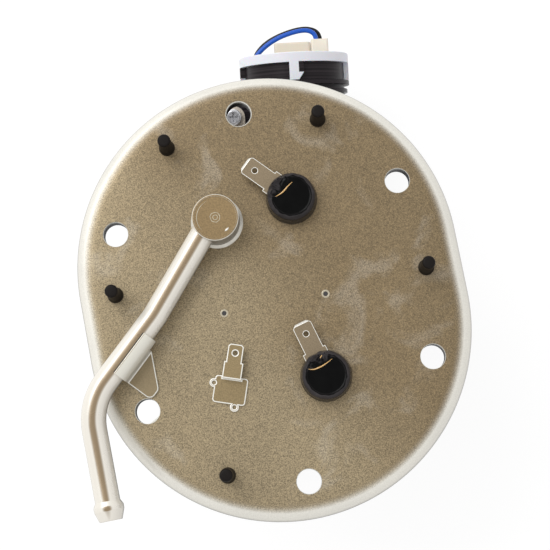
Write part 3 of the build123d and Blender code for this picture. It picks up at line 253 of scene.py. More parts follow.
class Effect:
    """Shader node groups that several finishes share, each built the first time it is asked for."""

    @staticmethod
    @cache
    def facing_tone() -> Tree:
        """Painted light by facing: the flat colour on faces along Z, a painted highlight on slanting faces
        and a painted shade on faces across it.
        """
        graph, given, out = Graph.grouped(
            "facing_tone",
            {"Normal": "Vector", "Flat": "Color", "Side": "Color", "Edge": "Color",
             "Flat Limit": "Float", "Side Limit": "Float", "Edge Limit": "Float"},
            {"Color": "Color", "Mask": "Float"},
        )
        upright = graph.math("ABSOLUTE", graph.split(given["Normal"])[2])
        mask = graph.range(upright, given["Side Limit"], given["Flat Limit"])
        steep = graph.range(upright, 0.0, given["Edge Limit"])
        side = graph.blend(steep, given["Edge"], given["Side"])
        graph.feed(out, {"Color": graph.blend(mask, side, given["Flat"]), "Mask": mask})
        return graph.tree

    @staticmethod
    @cache
    def drift() -> Tree:
        """Share of painted shade that grows slowly over the plate, from its lower left to its upper right.
        """
        graph, given, out = Graph.grouped("drift", {"Vector": "Vector"}, {"Share": "Float"})
        along = graph.add("ShaderNodeVectorMath", {0: given["Vector"], 1: (0.85, 0.53, 0.0)},
                          operation="DOT_PRODUCT")
        patch = graph.swing(graph.noise(given["Vector"], 22.0, 2.0), 0.05)
        reach = graph.math("ADD", along.outputs["Value"], patch)
        graph.feed(out, {"Share": graph.range(reach, -0.025, 0.018)})
        return graph.tree

    @staticmethod
    @cache
    def smudges() -> Tree:
        """Share of faint wiped patches."""
        graph, given, out = Graph.grouped("smudges", {"Vector": "Vector"}, {"Share": "Float"})
        patch = graph.noise(given["Vector"], 62.0, 3.0, Roughness=0.55, Distortion=0.6)
        graph.feed(out, {"Share": graph.range(patch, 0.56, 0.72, 0.0, 0.1)})
        return graph.tree

    @staticmethod
    @cache
    def fine_grain() -> Tree:
        """Speckle at two scales over slow cloudy patches, as colour and height."""
        graph, given, out = Graph.grouped(
            "fine_grain",
            {"Vector": "Vector", "Color": "Color", "Grain Scale": "Float", "Grain": "Float",
             "Cloud Scale": "Float", "Cloud": "Float"},
            {"Color": "Color", "Height": "Float", "Cloud": "Float"},
        )
        speckle = graph.noise(given["Vector"], given["Grain Scale"], 2.0, Roughness=0.6)
        cloud = graph.noise(given["Vector"], given["Cloud Scale"], 4.0, Roughness=0.55)
        swings = graph.math("ADD", graph.swing(speckle, given["Grain"]), graph.swing(cloud, given["Cloud"]))
        level = graph.math("ADD", swings, 1.0)
        tint = graph.add("ShaderNodeCombineColor", {0: level, 1: level, 2: level}).outputs[0]
        graph.feed(out, {"Color": graph.blend(1.0, given["Color"], tint, "MULTIPLY"),
                         "Height": speckle, "Cloud": cloud})
        return graph.tree

    @staticmethod
    @cache
    def drawn_lines() -> Tree:
        """Fine lines around an axis, as drawn tube or turned plastic has them."""
        graph, given, out = Graph.grouped(
            "drawn_lines", {"Vector": "Vector", "Pitch Scale": "Float"}, {"Height": "Float"})
        along = graph.math("MULTIPLY", graph.split(given["Vector"])[2], given["Pitch Scale"])
        line = graph.add("ShaderNodeTexNoise", {"W": along, "Scale": 1.0, "Detail": 3.0},
                         noise_dimensions="1D")
        graph.feed(out, {"Height": line.outputs[0]})
        return graph.tree

    @staticmethod
    @cache
    def open_weave() -> Tree:
        """Plain woven threads in two directions, as height and mask."""
        graph, given, out = Graph.grouped(
            "open_weave", {"Vector": "Vector", "Threads": "Float"}, {"Height": "Float", "Gap": "Float"})
        turns = [graph.math("MULTIPLY", part, given["Threads"])
                 for part in list(graph.split(given["Vector"]))[1:]]
        waves = [graph.math("ABSOLUTE", graph.math("SINE", turn)) for turn in turns]
        height = graph.math("MAXIMUM", *waves)
        graph.feed(out, {"Height": height, "Gap": graph.range(height, 0.35, 0.7)})
        return graph.tree


# ------------------------------------------------------------------------------- finishes
@dataclass(frozen=True)
class Finish:
    """A surface finish that makes one material."""

    name: str

    def material(self) -> bpy.types.Material:
        """Build the material."""
        material = bpy.data.materials.new(self.name)
        material.use_nodes = True
        graph = Graph(material.node_tree)
        surface, height, depth, strength = self.surface(graph, graph.add("ShaderNodeTexCoord").outputs)
        bump = graph.add("ShaderNodeBump", {"Height": height, "Distance": depth, "Strength": strength})
        surface["Normal"] = bump.outputs[0]
        graph.feed(graph.tree.nodes["Principled BSDF"], surface)
        return material

    def surface(self, graph: Graph, where: Sockets) -> Surface:
        """Build the finish's nodes.

        Args:
            graph: The material's nodes.
            where: Texture coordinates and the normal.

        Returns:
            The shader's inputs, then the bump's height, its depth in metres and its strength.
        """
        raise NotImplementedError

    @staticmethod
    def along_pump(graph: Graph, where: Sockets) -> Socket:
        """Texture coordinates turned into the pump's frame."""
        turn = PumpPlace.matrix().to_3x3().inverted().to_euler()
        return graph.add("ShaderNodeMapping", {"Vector": where["Object"], "Rotation": turn}).outputs[0]


@dataclass(frozen=True)
class SheetMetal(Finish):
    """Plated steel: its own tone on faces along Z, a painted highlight on slanting faces and a painted shade
    on faces across it.

    Attributes:
        flat: Colour of faces along Z.
        side: Painted highlight colour of slanting faces.
        edge: Painted shade colour of faces across Z; the side's highlight where there is none.
        shaded_far: Painted shade colour that the flat one drifts to over the part, or None.
        flat_limit: Share of Z in the normal at which the flat colour is full.
        side_limit: Share at which the side's colour is full.
        edge_limit: Share under which the edge's colour starts.
    """

    flat: Color
    side: Color
    metallic: float = 0.45
    roughness: float = 0.42
    grain: float = 0.3
    grain_scale: float = 2400.0
    cloud: float = 0.22
    cloud_scale: float = 38.0
    flat_limit: float = 0.985
    side_limit: float = 0.72
    bump_depth: float = 0.00003
    specular: float = 0.5
    edge: Optional[Color] = None
    edge_limit: float = 0.42
    shaded_far: Optional[Color] = None

    def surface(self, graph: Graph, where: Sockets) -> Surface:
        """Build the finish's nodes."""
        flat = self.flat
        # painted shade: the flat colour darkens across the part towards its upper right
        if self.shaded_far:
            drift = graph.effect(Effect.drift, Vector=where["Object"])
            wiped = graph.effect(Effect.smudges, Vector=where["Object"])
            flat = graph.blend(drift["Share"], self.flat, self.shaded_far)
            flat = graph.blend(wiped["Share"], flat, self.side)
        # painted highlight on slanting faces and painted shade on faces across Z, chosen by the normal
        tone = graph.effect(
            Effect.facing_tone, Normal=where["Normal"], Flat=flat, Side=self.side,
            Edge=self.edge or self.side, Flat_Limit=self.flat_limit, Side_Limit=self.side_limit,
            Edge_Limit=self.edge_limit)
        strength = graph.math("MULTIPLY", tone["Mask"], self.grain * 0.85)
        strength = graph.math("ADD", strength, self.grain * 0.15)
        grain = graph.effect(
            Effect.fine_grain, Vector=where["Object"], Color=tone["Color"], Grain_Scale=self.grain_scale,
            Grain=strength, Cloud_Scale=self.cloud_scale, Cloud=self.cloud)
        rough = graph.range(grain["Cloud"], 0.3, 0.7, self.roughness - 0.06, self.roughness + 0.06)
        return {
            "Base Color": grain["Color"], "Metallic": self.metallic, "Specular IOR Level": self.specular,
            "Roughness": rough,
        }, grain["Height"], self.bump_depth, 0.5


@dataclass(frozen=True)
class Moulded(Finish):
    """Moulded plastic or rubber with a fine skin."""

    color: Color
    roughness: float = 0.4
    grain: float = 0.12
    grain_scale: float = 900.0
    cloud: float = 0.1
    cloud_scale: float = 120.0
    coat: float = 0.0
    specular: float = 0.5
    bump_depth: float = 0.00004
    subsurface: float = 0.0

    def surface(self, graph: Graph, where: Sockets) -> Surface:
        """Build the finish's nodes."""
        grain = graph.effect(
            Effect.fine_grain, Vector=where["Object"], Color=self.color, Grain_Scale=self.grain_scale,
            Grain=self.grain, Cloud_Scale=self.cloud_scale, Cloud=self.cloud)
        rough = graph.range(grain["Cloud"], 0.3, 0.7, self.roughness - 0.05, self.roughness + 0.05)
        return {
            "Base Color": grain["Color"], "Roughness": rough, "Specular IOR Level": self.specular,
            "Coat Weight": self.coat, "Coat Roughness": 0.08, "Subsurface Weight": self.subsurface,
            "Subsurface Scale": 0.001,
        }, grain["Height"], self.bump_depth, 0.4


@dataclass(frozen=True)
class Turned(Finish):
    """Metal or plastic with fine lines around the pump's axis."""

    color: Color
    streak: Color
    metallic: float = 0.0
    roughness: float = 0.35
    pitch_scale: float = 1400.0
    specular: float = 0.5
    bump_depth: float = 0.00003

    def surface(self, graph: Graph, where: Sockets) -> Surface:
        """Build the finish's nodes."""
        height = graph.effect(Effect.drawn_lines, Vector=self.along_pump(graph, where),
                              Pitch_Scale=self.pitch_scale)["Height"]
        rough = graph.range(height, 0.2, 0.8, self.roughness - 0.07, self.roughness + 0.07)
        return {
            "Base Color": graph.blend(graph.range(height, 0.35, 0.65), self.color, self.streak),
            "Metallic": self.metallic, "Specular IOR Level": self.specular, "Roughness": rough,
        }, height, self.bump_depth, 0.5


@dataclass(frozen=True)
class Woven(Finish):
    """Nylon mesh cloth."""

    thread: Color
    gap: Color
    threads: float = 5200.0

    def surface(self, graph: Graph, where: Sockets) -> Surface:
        """Build the finish's nodes."""
        weave = graph.effect(Effect.open_weave, Vector=self.along_pump(graph, where), Threads=self.threads)
        return {
            "Base Color": graph.blend(weave["Gap"], self.gap, self.thread), "Roughness": 0.7,
            "Sheen Weight": 0.3,
        }, weave["Height"], 0.00012, 0.7


class Look(Enum):
    """Every finish on the module."""

    # In every SheetMetal finish the second colour is a painted highlight and the edge colour a painted
    # shade; the plate's far colour is a painted shade towards its upper right.
    PLATE = SheetMetal("plate_finish", srgb(146, 131, 103), srgb(228, 225, 216), grain=2.6,
                       grain_scale=2900.0, flat_limit=0.999, side_limit=0.88, edge=srgb(118, 117, 113),
                       edge_limit=0.66, shaded_far=srgb(123, 106, 78))
    PIPE = SheetMetal("pipe_finish", srgb(140, 121, 94), srgb(232, 227, 217), metallic=0.25, roughness=0.3,
                      grain=0.15, cloud=0.12, flat_limit=0.993, side_limit=0.93, edge=srgb(120, 116, 108),
                      edge_limit=0.45)
    BOSS = SheetMetal("boss_finish", srgb(134, 112, 76), srgb(228, 224, 214), metallic=0.35, roughness=0.36,
                      grain=1.0, grain_scale=1900.0, edge=srgb(150, 146, 138))
    SADDLE = SheetMetal("saddle_finish", srgb(140, 124, 94), srgb(228, 225, 214), metallic=0.3, grain=0.5,
                        roughness=0.36, flat_limit=0.995, side_limit=0.97, edge=srgb(200, 198, 190))
    EARTH = SheetMetal("earth_finish", srgb(140, 122, 88), srgb(238, 236, 228), grain=0.9, roughness=0.34,
                       flat_limit=0.99, side_limit=0.8)
    TAB = SheetMetal("tab_finish", srgb(130, 115, 92), srgb(238, 236, 230), grain=0.8, roughness=0.3,
                     metallic=0.5, flat_limit=0.99, side_limit=0.8)
    # Painted highlight for the bright border of stamped edges and the boss's glint.
    TRIM = SheetMetal("trim_finish", srgb(232, 229, 220), srgb(240, 238, 232), metallic=0.25, grain=0.15,
                      cloud=0.1, roughness=0.3)
    WELD = SheetMetal("weld_finish", srgb(178, 168, 146), srgb(200, 194, 180), grain=0.6)
    BRACKET = SheetMetal("bracket_finish", srgb(200, 190, 176), srgb(232, 230, 224), metallic=0.3,
                         grain=0.3, flat_limit=0.99)
    SCREW = SheetMetal("screw_finish", srgb(196, 196, 200), srgb(246, 246, 248), metallic=0.5,
                       roughness=0.22, grain=0.05, cloud=0.05)
    ZINC = SheetMetal("zinc_finish", srgb(168, 164, 154), srgb(214, 212, 206), metallic=0.7, grain=0.1)
    STEEL = SheetMetal("bright_steel", srgb(176, 175, 172), srgb(206, 205, 202), metallic=0.9,
                       roughness=0.25, grain=0.06)
    IRON = SheetMetal("laminated_iron", srgb(92, 92, 94), srgb(120, 120, 122), metallic=0.6, roughness=0.5)
    CAST = SheetMetal("cast_alloy", srgb(168, 170, 172), srgb(190, 192, 194), metallic=0.7, roughness=0.5,
                      grain=0.2, grain_scale=1200.0)
    BRASS = SheetMetal("turned_brass", srgb(190, 160, 96), srgb(214, 188, 128), metallic=0.9,
                       roughness=0.28, grain=0.06)
    BRONZE = SheetMetal("sintered_bronze", srgb(150, 112, 68), srgb(166, 128, 84), metallic=0.7,
                        roughness=0.5)
    COPPER = SheetMetal("copper", srgb(184, 106, 62), srgb(206, 128, 84), metallic=0.9, roughness=0.35,
                        grain=0.2)
    SEAL = Moulded("seal_rubber_finish", srgb(22, 18, 16), roughness=0.5, grain=0.5, specular=0.12)
    BLACK = Moulded("insulator_finish", srgb(34, 31, 31), roughness=0.3, grain=0.4, specular=0.3)
    # Black potting: the grey side colour is a painted reflection on its round shoulder.
    RESIN = SheetMetal("resin_finish", srgb(5, 5, 5), srgb(60, 57, 58), metallic=0.0, roughness=0.14,
                       grain=1.5, grain_scale=420.0, cloud=1.4, cloud_scale=160.0, bump_depth=0.0001,
                       specular=0.07, side_limit=0.8, edge=srgb(24, 22, 23), edge_limit=0.5)
    AMBER = Moulded("amber_finish", srgb(214, 170, 104), roughness=0.2, coat=0.6)
    # Dark plastic; also the painted shadow line at the saddle's edge.
    DARK = Moulded("dark_plastic", srgb(44, 42, 42), roughness=0.5)
    CAP = Moulded("cap_finish", srgb(232, 233, 240), roughness=0.45, grain=0.03, cloud=0.03,
                  subsurface=0.15)
    HEAD = Moulded("head_finish", srgb(226, 217, 200), roughness=0.42, grain=0.04, cloud=0.05,
                   subsurface=0.1)
    PLUG = Moulded("plug_finish", srgb(238, 231, 216), roughness=0.45, grain=0.04, cloud=0.05,
                   subsurface=0.1)
    BLUE = Moulded("blue_insulation_finish", srgb(14, 84, 190), roughness=0.3, grain=0.05, cloud=0.05,
                   specular=0.4)
    WIRE_BLACK = Moulded("black_insulation_finish", srgb(14, 14, 18), roughness=0.3, specular=0.25)
    HOSE = Moulded("hose_finish", srgb(34, 34, 35), roughness=0.55, grain=0.25)
    CARBON = Moulded("carbon_finish", srgb(40, 40, 42), roughness=0.6)
    FERRITE = Moulded("ferrite_finish", srgb(58, 58, 62), roughness=0.7, grain=0.3)
    IMPELLER = Moulded("impeller_finish", srgb(62, 50, 40), roughness=0.5)
    NYLON = Moulded("nylon_finish", srgb(228, 226, 214), roughness=0.45, grain=0.05, subsurface=0.1)
    HOLDER = Turned("holder_finish", srgb(20, 16, 19), srgb(48, 42, 45), roughness=0.34, specular=0.14)
    CASE = Turned("case_finish", srgb(170, 170, 170), srgb(196, 196, 196), metallic=0.85, roughness=0.3)
    MESH = Woven("strainer_cloth", srgb(236, 235, 226), srgb(190, 188, 176))

    @property
    def material(self) -> bpy.types.Material:
        """The finish's material, built the first time it is asked for."""
        found = bpy.data.materials.get(self.value.name)
        return found or self.value.material()


# ------------------------------------------------------------------------------- places and mesh tools
class PumpPlace:
    """The pump's frame: X up towards the flange, Y to its right, Z along it to the outlet end."""

    @staticmethod
    def matrix() -> Matrix:
        """The pump frame in the row frame, in metres, from the rotor's joint."""
        joint = next(item for item in frame["joints"] if item["name"] == "rotor_spin")
        axis = Vector(joint["axis"]).normalized()
        up = (Vector((0, 0, 1)) - axis * axis.z).normalized()
        right = axis.cross(up)
        turn = Matrix((up, right, axis)).transposed().to_4x4()
        return Matrix.Translation(Vector(joint["pos_m"])) @ turn

    @classmethod
    def scaled(cls) -> Matrix:
        """The same place for points given in millimetres."""
        return cls.matrix() @ ROW


class Forge:
    """Builds, places and dresses mesh objects.

    Attributes:
        MERGE: Distance in metres within which points become one.
        SHARP: Edge angle in degrees past which shading breaks; SOLID_SHARP is for the CAD's solids.
        ROUND_FROM: Edge angle in degrees from which an edge is rounded.
        FLAT_WITHIN: Angle in degrees within which faces join into one.
    """

    MERGE = 1e-6
    SHARP = 40.0
    SOLID_SHARP = 35.0
    ROUND_FROM = 38.0
    FLAT_WITHIN = 0.6

    @staticmethod
    def mesh(name: str, points: Sequence[Sequence[float]], faces: Sequence[Sequence[int]],
             place: Matrix, sharp: float = SHARP) -> Piece:
        """Make an object from points in a local frame.

        Args:
            name: The piece's name.
            points: Corner points, local.
            faces: Corner indices of each face.
            place: From the local frame to the row frame in metres.
            sharp: Edge angle in degrees past which shading breaks.

        Returns:
            The linked object, at the origin.
        """
        data = bpy.data.meshes.new(name)
        data.from_pydata([place @ Vector(point) for point in points], [], faces)
        Forge.tidy(data, sharp)
        return linked(name, data)

    @staticmethod
    def tidy(data: bpy.types.Mesh, sharp: float, outward: bool = True) -> None:
        """Merge doubles, turn faces outwards and set the shading."""
        with edited(data) as work:
            bmesh.ops.remove_doubles(work, verts=work.verts, dist=Forge.MERGE)
            if outward:
                bmesh.ops.recalc_face_normals(work, faces=work.faces)
        data.polygons.foreach_set("use_smooth", [True] * len(data.polygons))
        data.set_sharp_from_angle(angle=math.radians(sharp))
        data.update()

    @staticmethod
    def baked(piece: Piece) -> Piece:
        """Replace a piece's mesh by its evaluated one and drop its modifiers."""
        bpy.context.view_layer.update()
        graph = bpy.context.evaluated_depsgraph_get()
        data = bpy.data.meshes.new_from_object(piece.evaluated_get(graph))
        if piece.type != "MESH":
            name = piece.name
            bpy.data.objects.remove(piece)
            return linked(name, data)
        piece.modifiers.clear()
        piece.data = data
        return piece

    @staticmethod
    def dress(piece: Piece, look: Look, *nodes: str) -> Piece:
        """Give a piece its finish, let it ride on the flange and hide the solids it stands for."""
        slots = piece.data.materials
        if slots:
            slots[0] = look.material
        else:
            slots.append(look.material)
        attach(piece, FLANGE)
        if nodes:
            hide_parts(*nodes)
        log.info("made %s with %s", piece.name, look.value.name)
        return piece

    @staticmethod
    def lathe(name: str, profile: Sequence[Spot], place: Matrix, segments: int = 96,
              ripple: Optional[Ripple] = None, sharp: float = SHARP) -> Piece:
        """Turn a closed profile around Z.

        Args:
            name: The piece's name.
            profile: Radius and height pairs; the first and last lie on the axis or join up.
            place: From the local frame to the row frame.
            segments: Steps around the axis.
            ripple: Gives changed radius and height from angle, radius and height.
            sharp: Edge angle in degrees past which shading breaks.

        Returns:
            The object.
        """
        points = []
        for step in range(segments):
            angle = math.tau * step / segments
            for radius, height in profile:
                if ripple:
                    radius, height = ripple(angle, radius, height)
                points.append((radius * math.cos(angle), radius * math.sin(angle), height))
        faces = quads(segments, len(profile), closed=True, looped=profile[0][0] > 1e-6)
        piece = Forge.mesh(name, points, faces, place, sharp)
        with edited(piece.data) as work:
            bmesh.ops.dissolve_degenerate(work, edges=work.edges, dist=1e-7)
        Forge.tidy(piece.data, sharp)
        return piece

    @staticmethod
    def tube(name: str, centres: Sequence[Vector], rings: Sequence[tuple[int, float]], place: Matrix,
             segments: int, bore: float, sharp: float) -> Piece:
        """Sweep circles along a path.

        Args:
            name: The piece's name.
            centres: The path's points.
            rings: Index of a path point and the radius there, in order; points may repeat.
            place: From the local frame to the row frame.
            segments: Steps around the tube.
            bore: Radius of the hole through it.
            sharp: Edge angle in degrees past which shading breaks.

        Returns:
            The object.
        """
        frames = Forge.frames(centres)
        loops = [*rings, *((index, bore) for index, _ in reversed(rings))]
        points = []
        for index, radius in loops:
            centre, first, second = frames[index]
            for step in range(segments):
                angle = math.tau * step / segments
                points.append(centre + radius * (math.cos(angle) * first + math.sin(angle) * second))
        faces = quads(len(loops), segments, closed=True)
        return Forge.mesh(name, points, faces, place, sharp)

    @staticmethod
    def frames(centres: Sequence[Vector]) -> list[tuple[Vector, Vector, Vector]]:
        """Centre and two cross directions at each point of a path, without twist."""
        result = []
        side = None
        for index, centre in enumerate(centres):
            before = centres[max(index - 1, 0)]
            after = centres[min(index + 1, len(centres) - 1)]
            along = (after - before).normalized()
            if side is None:
                side = along.orthogonal().normalized()
            side = (side - along * side.dot(along)).normalized()
            result.append((centre, side, along.cross(side)))
        return result

    @staticmethod
    def refined(node: str, look: Look, bevel: float = 0.0, steps: int = 2, highlight_border: float = 0.0,
                keep: Optional[Callable[[bmesh.types.BMesh], None]] = None) -> Piece:
        """Copy a solid with its flat faces joined and its sharp edges rounded.

        Args:
            node: The solid's node.
            look: The finish.
            bevel: Edge rounding in millimetres, or 0.
            steps: Segments of the rounding.
            highlight_border: Width in millimetres of the painted highlight border around its upper faces, or
                0.
            keep: Changes the mesh before the rounding.

        Returns:
            The dressed piece, which replaces the node.
        """
        data = frame["nodes"][node].data.copy()
        data.materials.clear()
        for finish in (look, Look.TRIM) if highlight_border else (look,):
            data.materials.append(finish.material)
        with edited(data) as work:
            bmesh.ops.remove_doubles(work, verts=work.verts, dist=2 * Forge.MERGE)
            bmesh.ops.dissolve_limit(work, angle_limit=math.radians(Forge.FLAT_WITHIN), verts=work.verts,
                                     edges=work.edges, delimit={"NORMAL"})
            if keep:
                keep(work)
            # painted highlight: a bright border around the upper faces
            if highlight_border:
                upper = [face for face in work.faces if face.normal.z > 0.99]
                border = bmesh.ops.inset_region(work, faces=upper, thickness=highlight_border * MM, use_boundary=True,
                                                use_even_offset=True)
                for face in border["faces"]:
                    face.material_index = 1
        Forge.tidy(data, Forge.SOLID_SHARP, outward=False)
        piece = linked(node + "_detail", data)
        if bevel:
            rounding = piece.modifiers.new("rounding", "BEVEL")
            rounding.width = bevel * MM
            rounding.segments = steps
            rounding.limit_method = "ANGLE"
            rounding.angle_limit = math.radians(Forge.ROUND_FROM)
            piece.modifiers.new("level_faces", "WEIGHTED_NORMAL")
            Forge.baked(piece)
        return Forge.dress(piece, look, node)

    @staticmethod
    def line(name: str, points: Sequence[Vector], radius: float,
             shares: Sequence[float]) -> Piece:
        """Make a round line on one smooth spline.

        Args:
            name: The piece's name.
            points: The spline's control points, in metres.
            radius: The line's radius, in metres.
            shares: The radius at each point, as a share.

        Returns:
            The curve's object, at the origin.
        """
        data = bpy.data.curves.new(name, "CURVE")
        data.dimensions = "3D"
        data.bevel_depth = radius
        data.bevel_resolution = 6
        data.resolution_u = 14
        data.use_fill_caps = True
        spline = data.splines.new("NURBS")
        spline.points.add(len(points) - 1)
        for item, point, share in zip(spline.points, points, shares):
            item.co = (*point, 1.0)
            item.radius = share
        spline.order_u = 3
        spline.use_endpoint_u = True
        return linked(name, data)

    @staticmethod
    def bead(name: str, points: Sequence[Vector], radius: float, shares: Sequence[float],
             look: Look) -> None:
        """Make a round line as a plain mesh with a finish; the rest is as for a line."""
        Forge.dress(Forge.baked(Forge.line(name, points, radius, shares)), look)

    @staticmethod
    def rounded(corners: Sequence[Vector], radii: Sequence[float], steps: int = 18) -> list[Vector]:
        """Points of a path whose inner corners are arcs.

        Args:
            corners: The path's corners.
            radii: Radius at each inner corner.
            steps: Steps in each arc.

        Returns:
            The path's points.
        """
        path = [corners[0]]
        for before, corner, after, radius in zip(corners, corners[1:], corners[2:], radii):
            back, ahead = (before - corner).normalized(), (after - corner).normalized()
            half = back.angle(ahead) / 2
            centre = corner + (back + ahead).normalized() * radius / math.sin(half)
            start = (corner + back * radius / math.tan(half) - centre).normalized()
            end = (corner + ahead * radius / math.tan(half) - centre).normalized()
            path += [centre + start.slerp(end, step / steps) * radius for step in range(steps + 1)]
        path.append(corners[-1])
        return path


@dataclass
class Outline:
    """The flange's outline: two arcs about centres on the long axis, joined by straight sides."""

    arc_offset: float = 10.6
    steps: int = 96

    def loop(self, radius: float) -> list[Spot]:
        """Points of the outline at a radius, anticlockwise from the right-hand side."""
        points = []
        for centre, start in ((self.arc_offset, 0.0), (-self.arc_offset, math.pi)):
            for step in range(self.steps + 1):
                angle = start + math.pi * step / self.steps
                points.append((radius * math.cos(angle), centre + radius * math.sin(angle)))
        return points

    @staticmethod
    def circle(x: float, y: float, radius: float) -> list[Spot]:
        """Points of a round hole."""
        steps = 56
        turns = (math.tau * step / steps for step in range(steps))
        return [(x + radius * math.cos(turn), y + radius * math.sin(turn)) for turn in turns]


class Scatter:
    """Geometry Nodes tree that puts one shape on every point."""

    SEED = 7

    @classmethod
    @cache
    def tree(cls) -> Tree:
        """Build the tree."""
        graph, given, out = Graph.grouped(
            "shape_on_points",
            {"Points": "Geometry", "Shape": "Object", "Spread": "Float", "Spin": "Float",
             "Material": "Material"},
            {"Geometry": "Geometry"}, "GeometryNodeTree",
        )
        shape = graph.add("GeometryNodeObjectInfo", {"Object": given["Shape"]})
        low, high = (graph.math(way, 1.0, given["Spread"]) for way in ("SUBTRACT", "ADD"))
        size = graph.add("FunctionNodeRandomValue", {2: low, 3: high, "Seed": cls.SEED}, data_type="FLOAT")
        spin = graph.add("FunctionNodeRandomValue", {3: given["Spin"], "Seed": cls.SEED}, data_type="FLOAT")
        turn = graph.add("ShaderNodeCombineXYZ", {2: spin.outputs[1]})
        euler = graph.add("FunctionNodeEulerToRotation", {0: turn.outputs[0]})
        facing = graph.add("GeometryNodeInputNamedAttribute", {"Name": "facing"}, data_type="QUATERNION")
        both = graph.add("FunctionNodeRotateRotation", {0: facing.outputs[0], 1: euler.outputs[0]},
                         rotation_space="LOCAL")
        copies = graph.add("GeometryNodeInstanceOnPoints", {
            "Points": given["Points"], "Instance": shape.outputs["Geometry"],
            "Rotation": both.outputs[0], "Scale": size.outputs[1]})
        real = graph.add("GeometryNodeRealizeInstances", {0: copies.outputs[0]})
        paint = graph.add("GeometryNodeSetMaterial", {
            "Geometry": real.outputs[0], "Material": given["Material"]})
        graph.feed(out, {0: paint.outputs[0]})
        return graph.tree

    @classmethod
    def place(cls, name: str, shape: Piece, places: Sequence[Matrix], look: Look,
              spread: float = 0.0, spin: float = 0.0, nodes: Sequence[str] = ()) -> Piece:
        """Put a shape at several places as one plain mesh.

        Args:
            name: The new piece's name.
            shape: The shape, which is removed afterwards.
            places: Where each copy goes, in metres.
            look: The finish.
            spread: Random change of size, as a share.
            spin: Largest random turn about each copy's own axis, in radians.
            nodes: Solids that the copies stand for.

        Returns:
            The dressed piece.
        """
        data = bpy.data.meshes.new(name)
        data.from_pydata([place.to_translation() for place in places], [], [])
        facing = data.attributes.new("facing", "QUATERNION", "POINT")
        for index, place in enumerate(places):
            facing.data[index].value = place.to_quaternion()
        piece = linked(name, data)
        modifier = piece.modifiers.new("copies", "NODES")
        modifier.node_group = cls.tree()
        values = {"Shape": shape, "Spread": spread, "Spin": spin, "Material": look.material}
        for item in cls.tree().interface.items_tree:
            if item.name in values:
                modifier[item.identifier] = values[item.name]
        Forge.baked(piece)
        bpy.data.objects.remove(shape)
        piece.data.set_sharp_from_angle(angle=math.radians(Forge.SHARP))
        return Forge.dress(piece, look, *nodes)


# ------------------------------------------------------------------------------- studio
@dataclass
class Studio:
    """Camera, pale floor, white world and soft light. Sizes in metres."""

    eye: Point = (-0.0009, -0.0605, 0.5262)
    across: Point = (0.98200, -0.18780, -0.01910)
    down: Point = (-0.18870, -0.97390, -0.12600)
    lens: float = 106.5
    floor_height: float = -0.0823
    floor_half: float = 4.0
    lamp_spot: Point = (-0.55, 0.65, 1.0)
    lamp_size: float = 0.9
    lamp_energy: float = 9.0

    def build(self) -> None:
        """Set up the view and everything around the object."""
        self.camera()
        self.world()
        self.floor()
        self.lamp()
        bpy.context.scene.view_settings.view_transform = "Standard"

    def camera(self) -> None:
        """Place the camera from its across and down directions."""
        across = Vector(self.across).normalized()
        down = Vector(self.down)
        down = (down - across * across.dot(down)).normalized()
        turn = Matrix((across, -down, -across.cross(down))).transposed()
        data = bpy.data.cameras.new("camera")
        data.lens = self.lens
        data.sensor_width = 36.0
        data.clip_start = 0.01
        camera = linked("camera", data)
        camera.matrix_world = Matrix.Translation(self.eye) @ turn.to_4x4()
        bpy.context.scene.camera = camera

    @staticmethod
    def seen(graph: Graph) -> Socket:
        """1 for rays that the camera follows straight or by reflection."""
        path = graph.add("ShaderNodeLightPath")
        share = graph.math("MAXIMUM", path.outputs["Is Camera Ray"], path.outputs["Is Glossy Ray"])
        return graph.math("MAXIMUM", share, path.outputs["Is Transmission Ray"])

    def world(self) -> None:
        """White all round, a little weaker where it only lights."""
        world = bpy.data.worlds.new("white_room")
        world.use_nodes = True
        bpy.context.scene.world = world
        graph = Graph(world.node_tree)
        strength = graph.range(self.seen(graph), 0.0, 1.0, 0.75, 1.0)
        graph.feed(graph.tree.nodes["Background"], {"Color": (1.0, 1.0, 1.0), "Strength": strength})

    def floor(self) -> None:
        """A plain pale floor that keeps the shadow and looks white to the camera."""
        corners = [(x * self.floor_half, y * self.floor_half, self.floor_height)
                   for x, y in ((-1, -1), (1, -1), (1, 1), (-1, 1))]
        data = bpy.data.meshes.new("floor")
        data.from_pydata(corners, [], [(0, 1, 2, 3)])
        floor = linked("floor", data)
        material = bpy.data.materials.new("pale_floor")
        material.use_nodes = True
        graph = Graph(material.node_tree)
        graph.tree.nodes.clear()
        plain = graph.add("ShaderNodeBsdfDiffuse", {"Color": (0.8, 0.8, 0.8)})
        weak = graph.add("ShaderNodeBsdfDiffuse", {"Color": (0.2, 0.2, 0.2)})
        glow = graph.add("ShaderNodeEmission", {"Color": (1.0, 1.0, 1.0), "Strength": 0.85})
        bright = graph.add("ShaderNodeAddShader", {0: weak.outputs[0], 1: glow.outputs[0]})
        mixed = graph.add("ShaderNodeMixShader", {
            0: self.seen(graph), 1: plain.outputs[0], 2: bright.outputs[0]})
        graph.add("ShaderNodeOutputMaterial", {"Surface": mixed.outputs[0]})
        data.materials.append(material)

    def lamp(self) -> None:
        """One large soft light, above and to the upper left."""
        data = bpy.data.lights.new("soft_light", "AREA")
        data.shape = "SQUARE"
        data.size = self.lamp_size
        data.energy = self.lamp_energy
        lamp = linked("soft_light", data)
        spot = Vector(self.lamp_spot)
        lamp.matrix_world = Matrix.Translation(spot) @ spot.to_track_quat("Z", "Y").to_matrix().to_4x4()


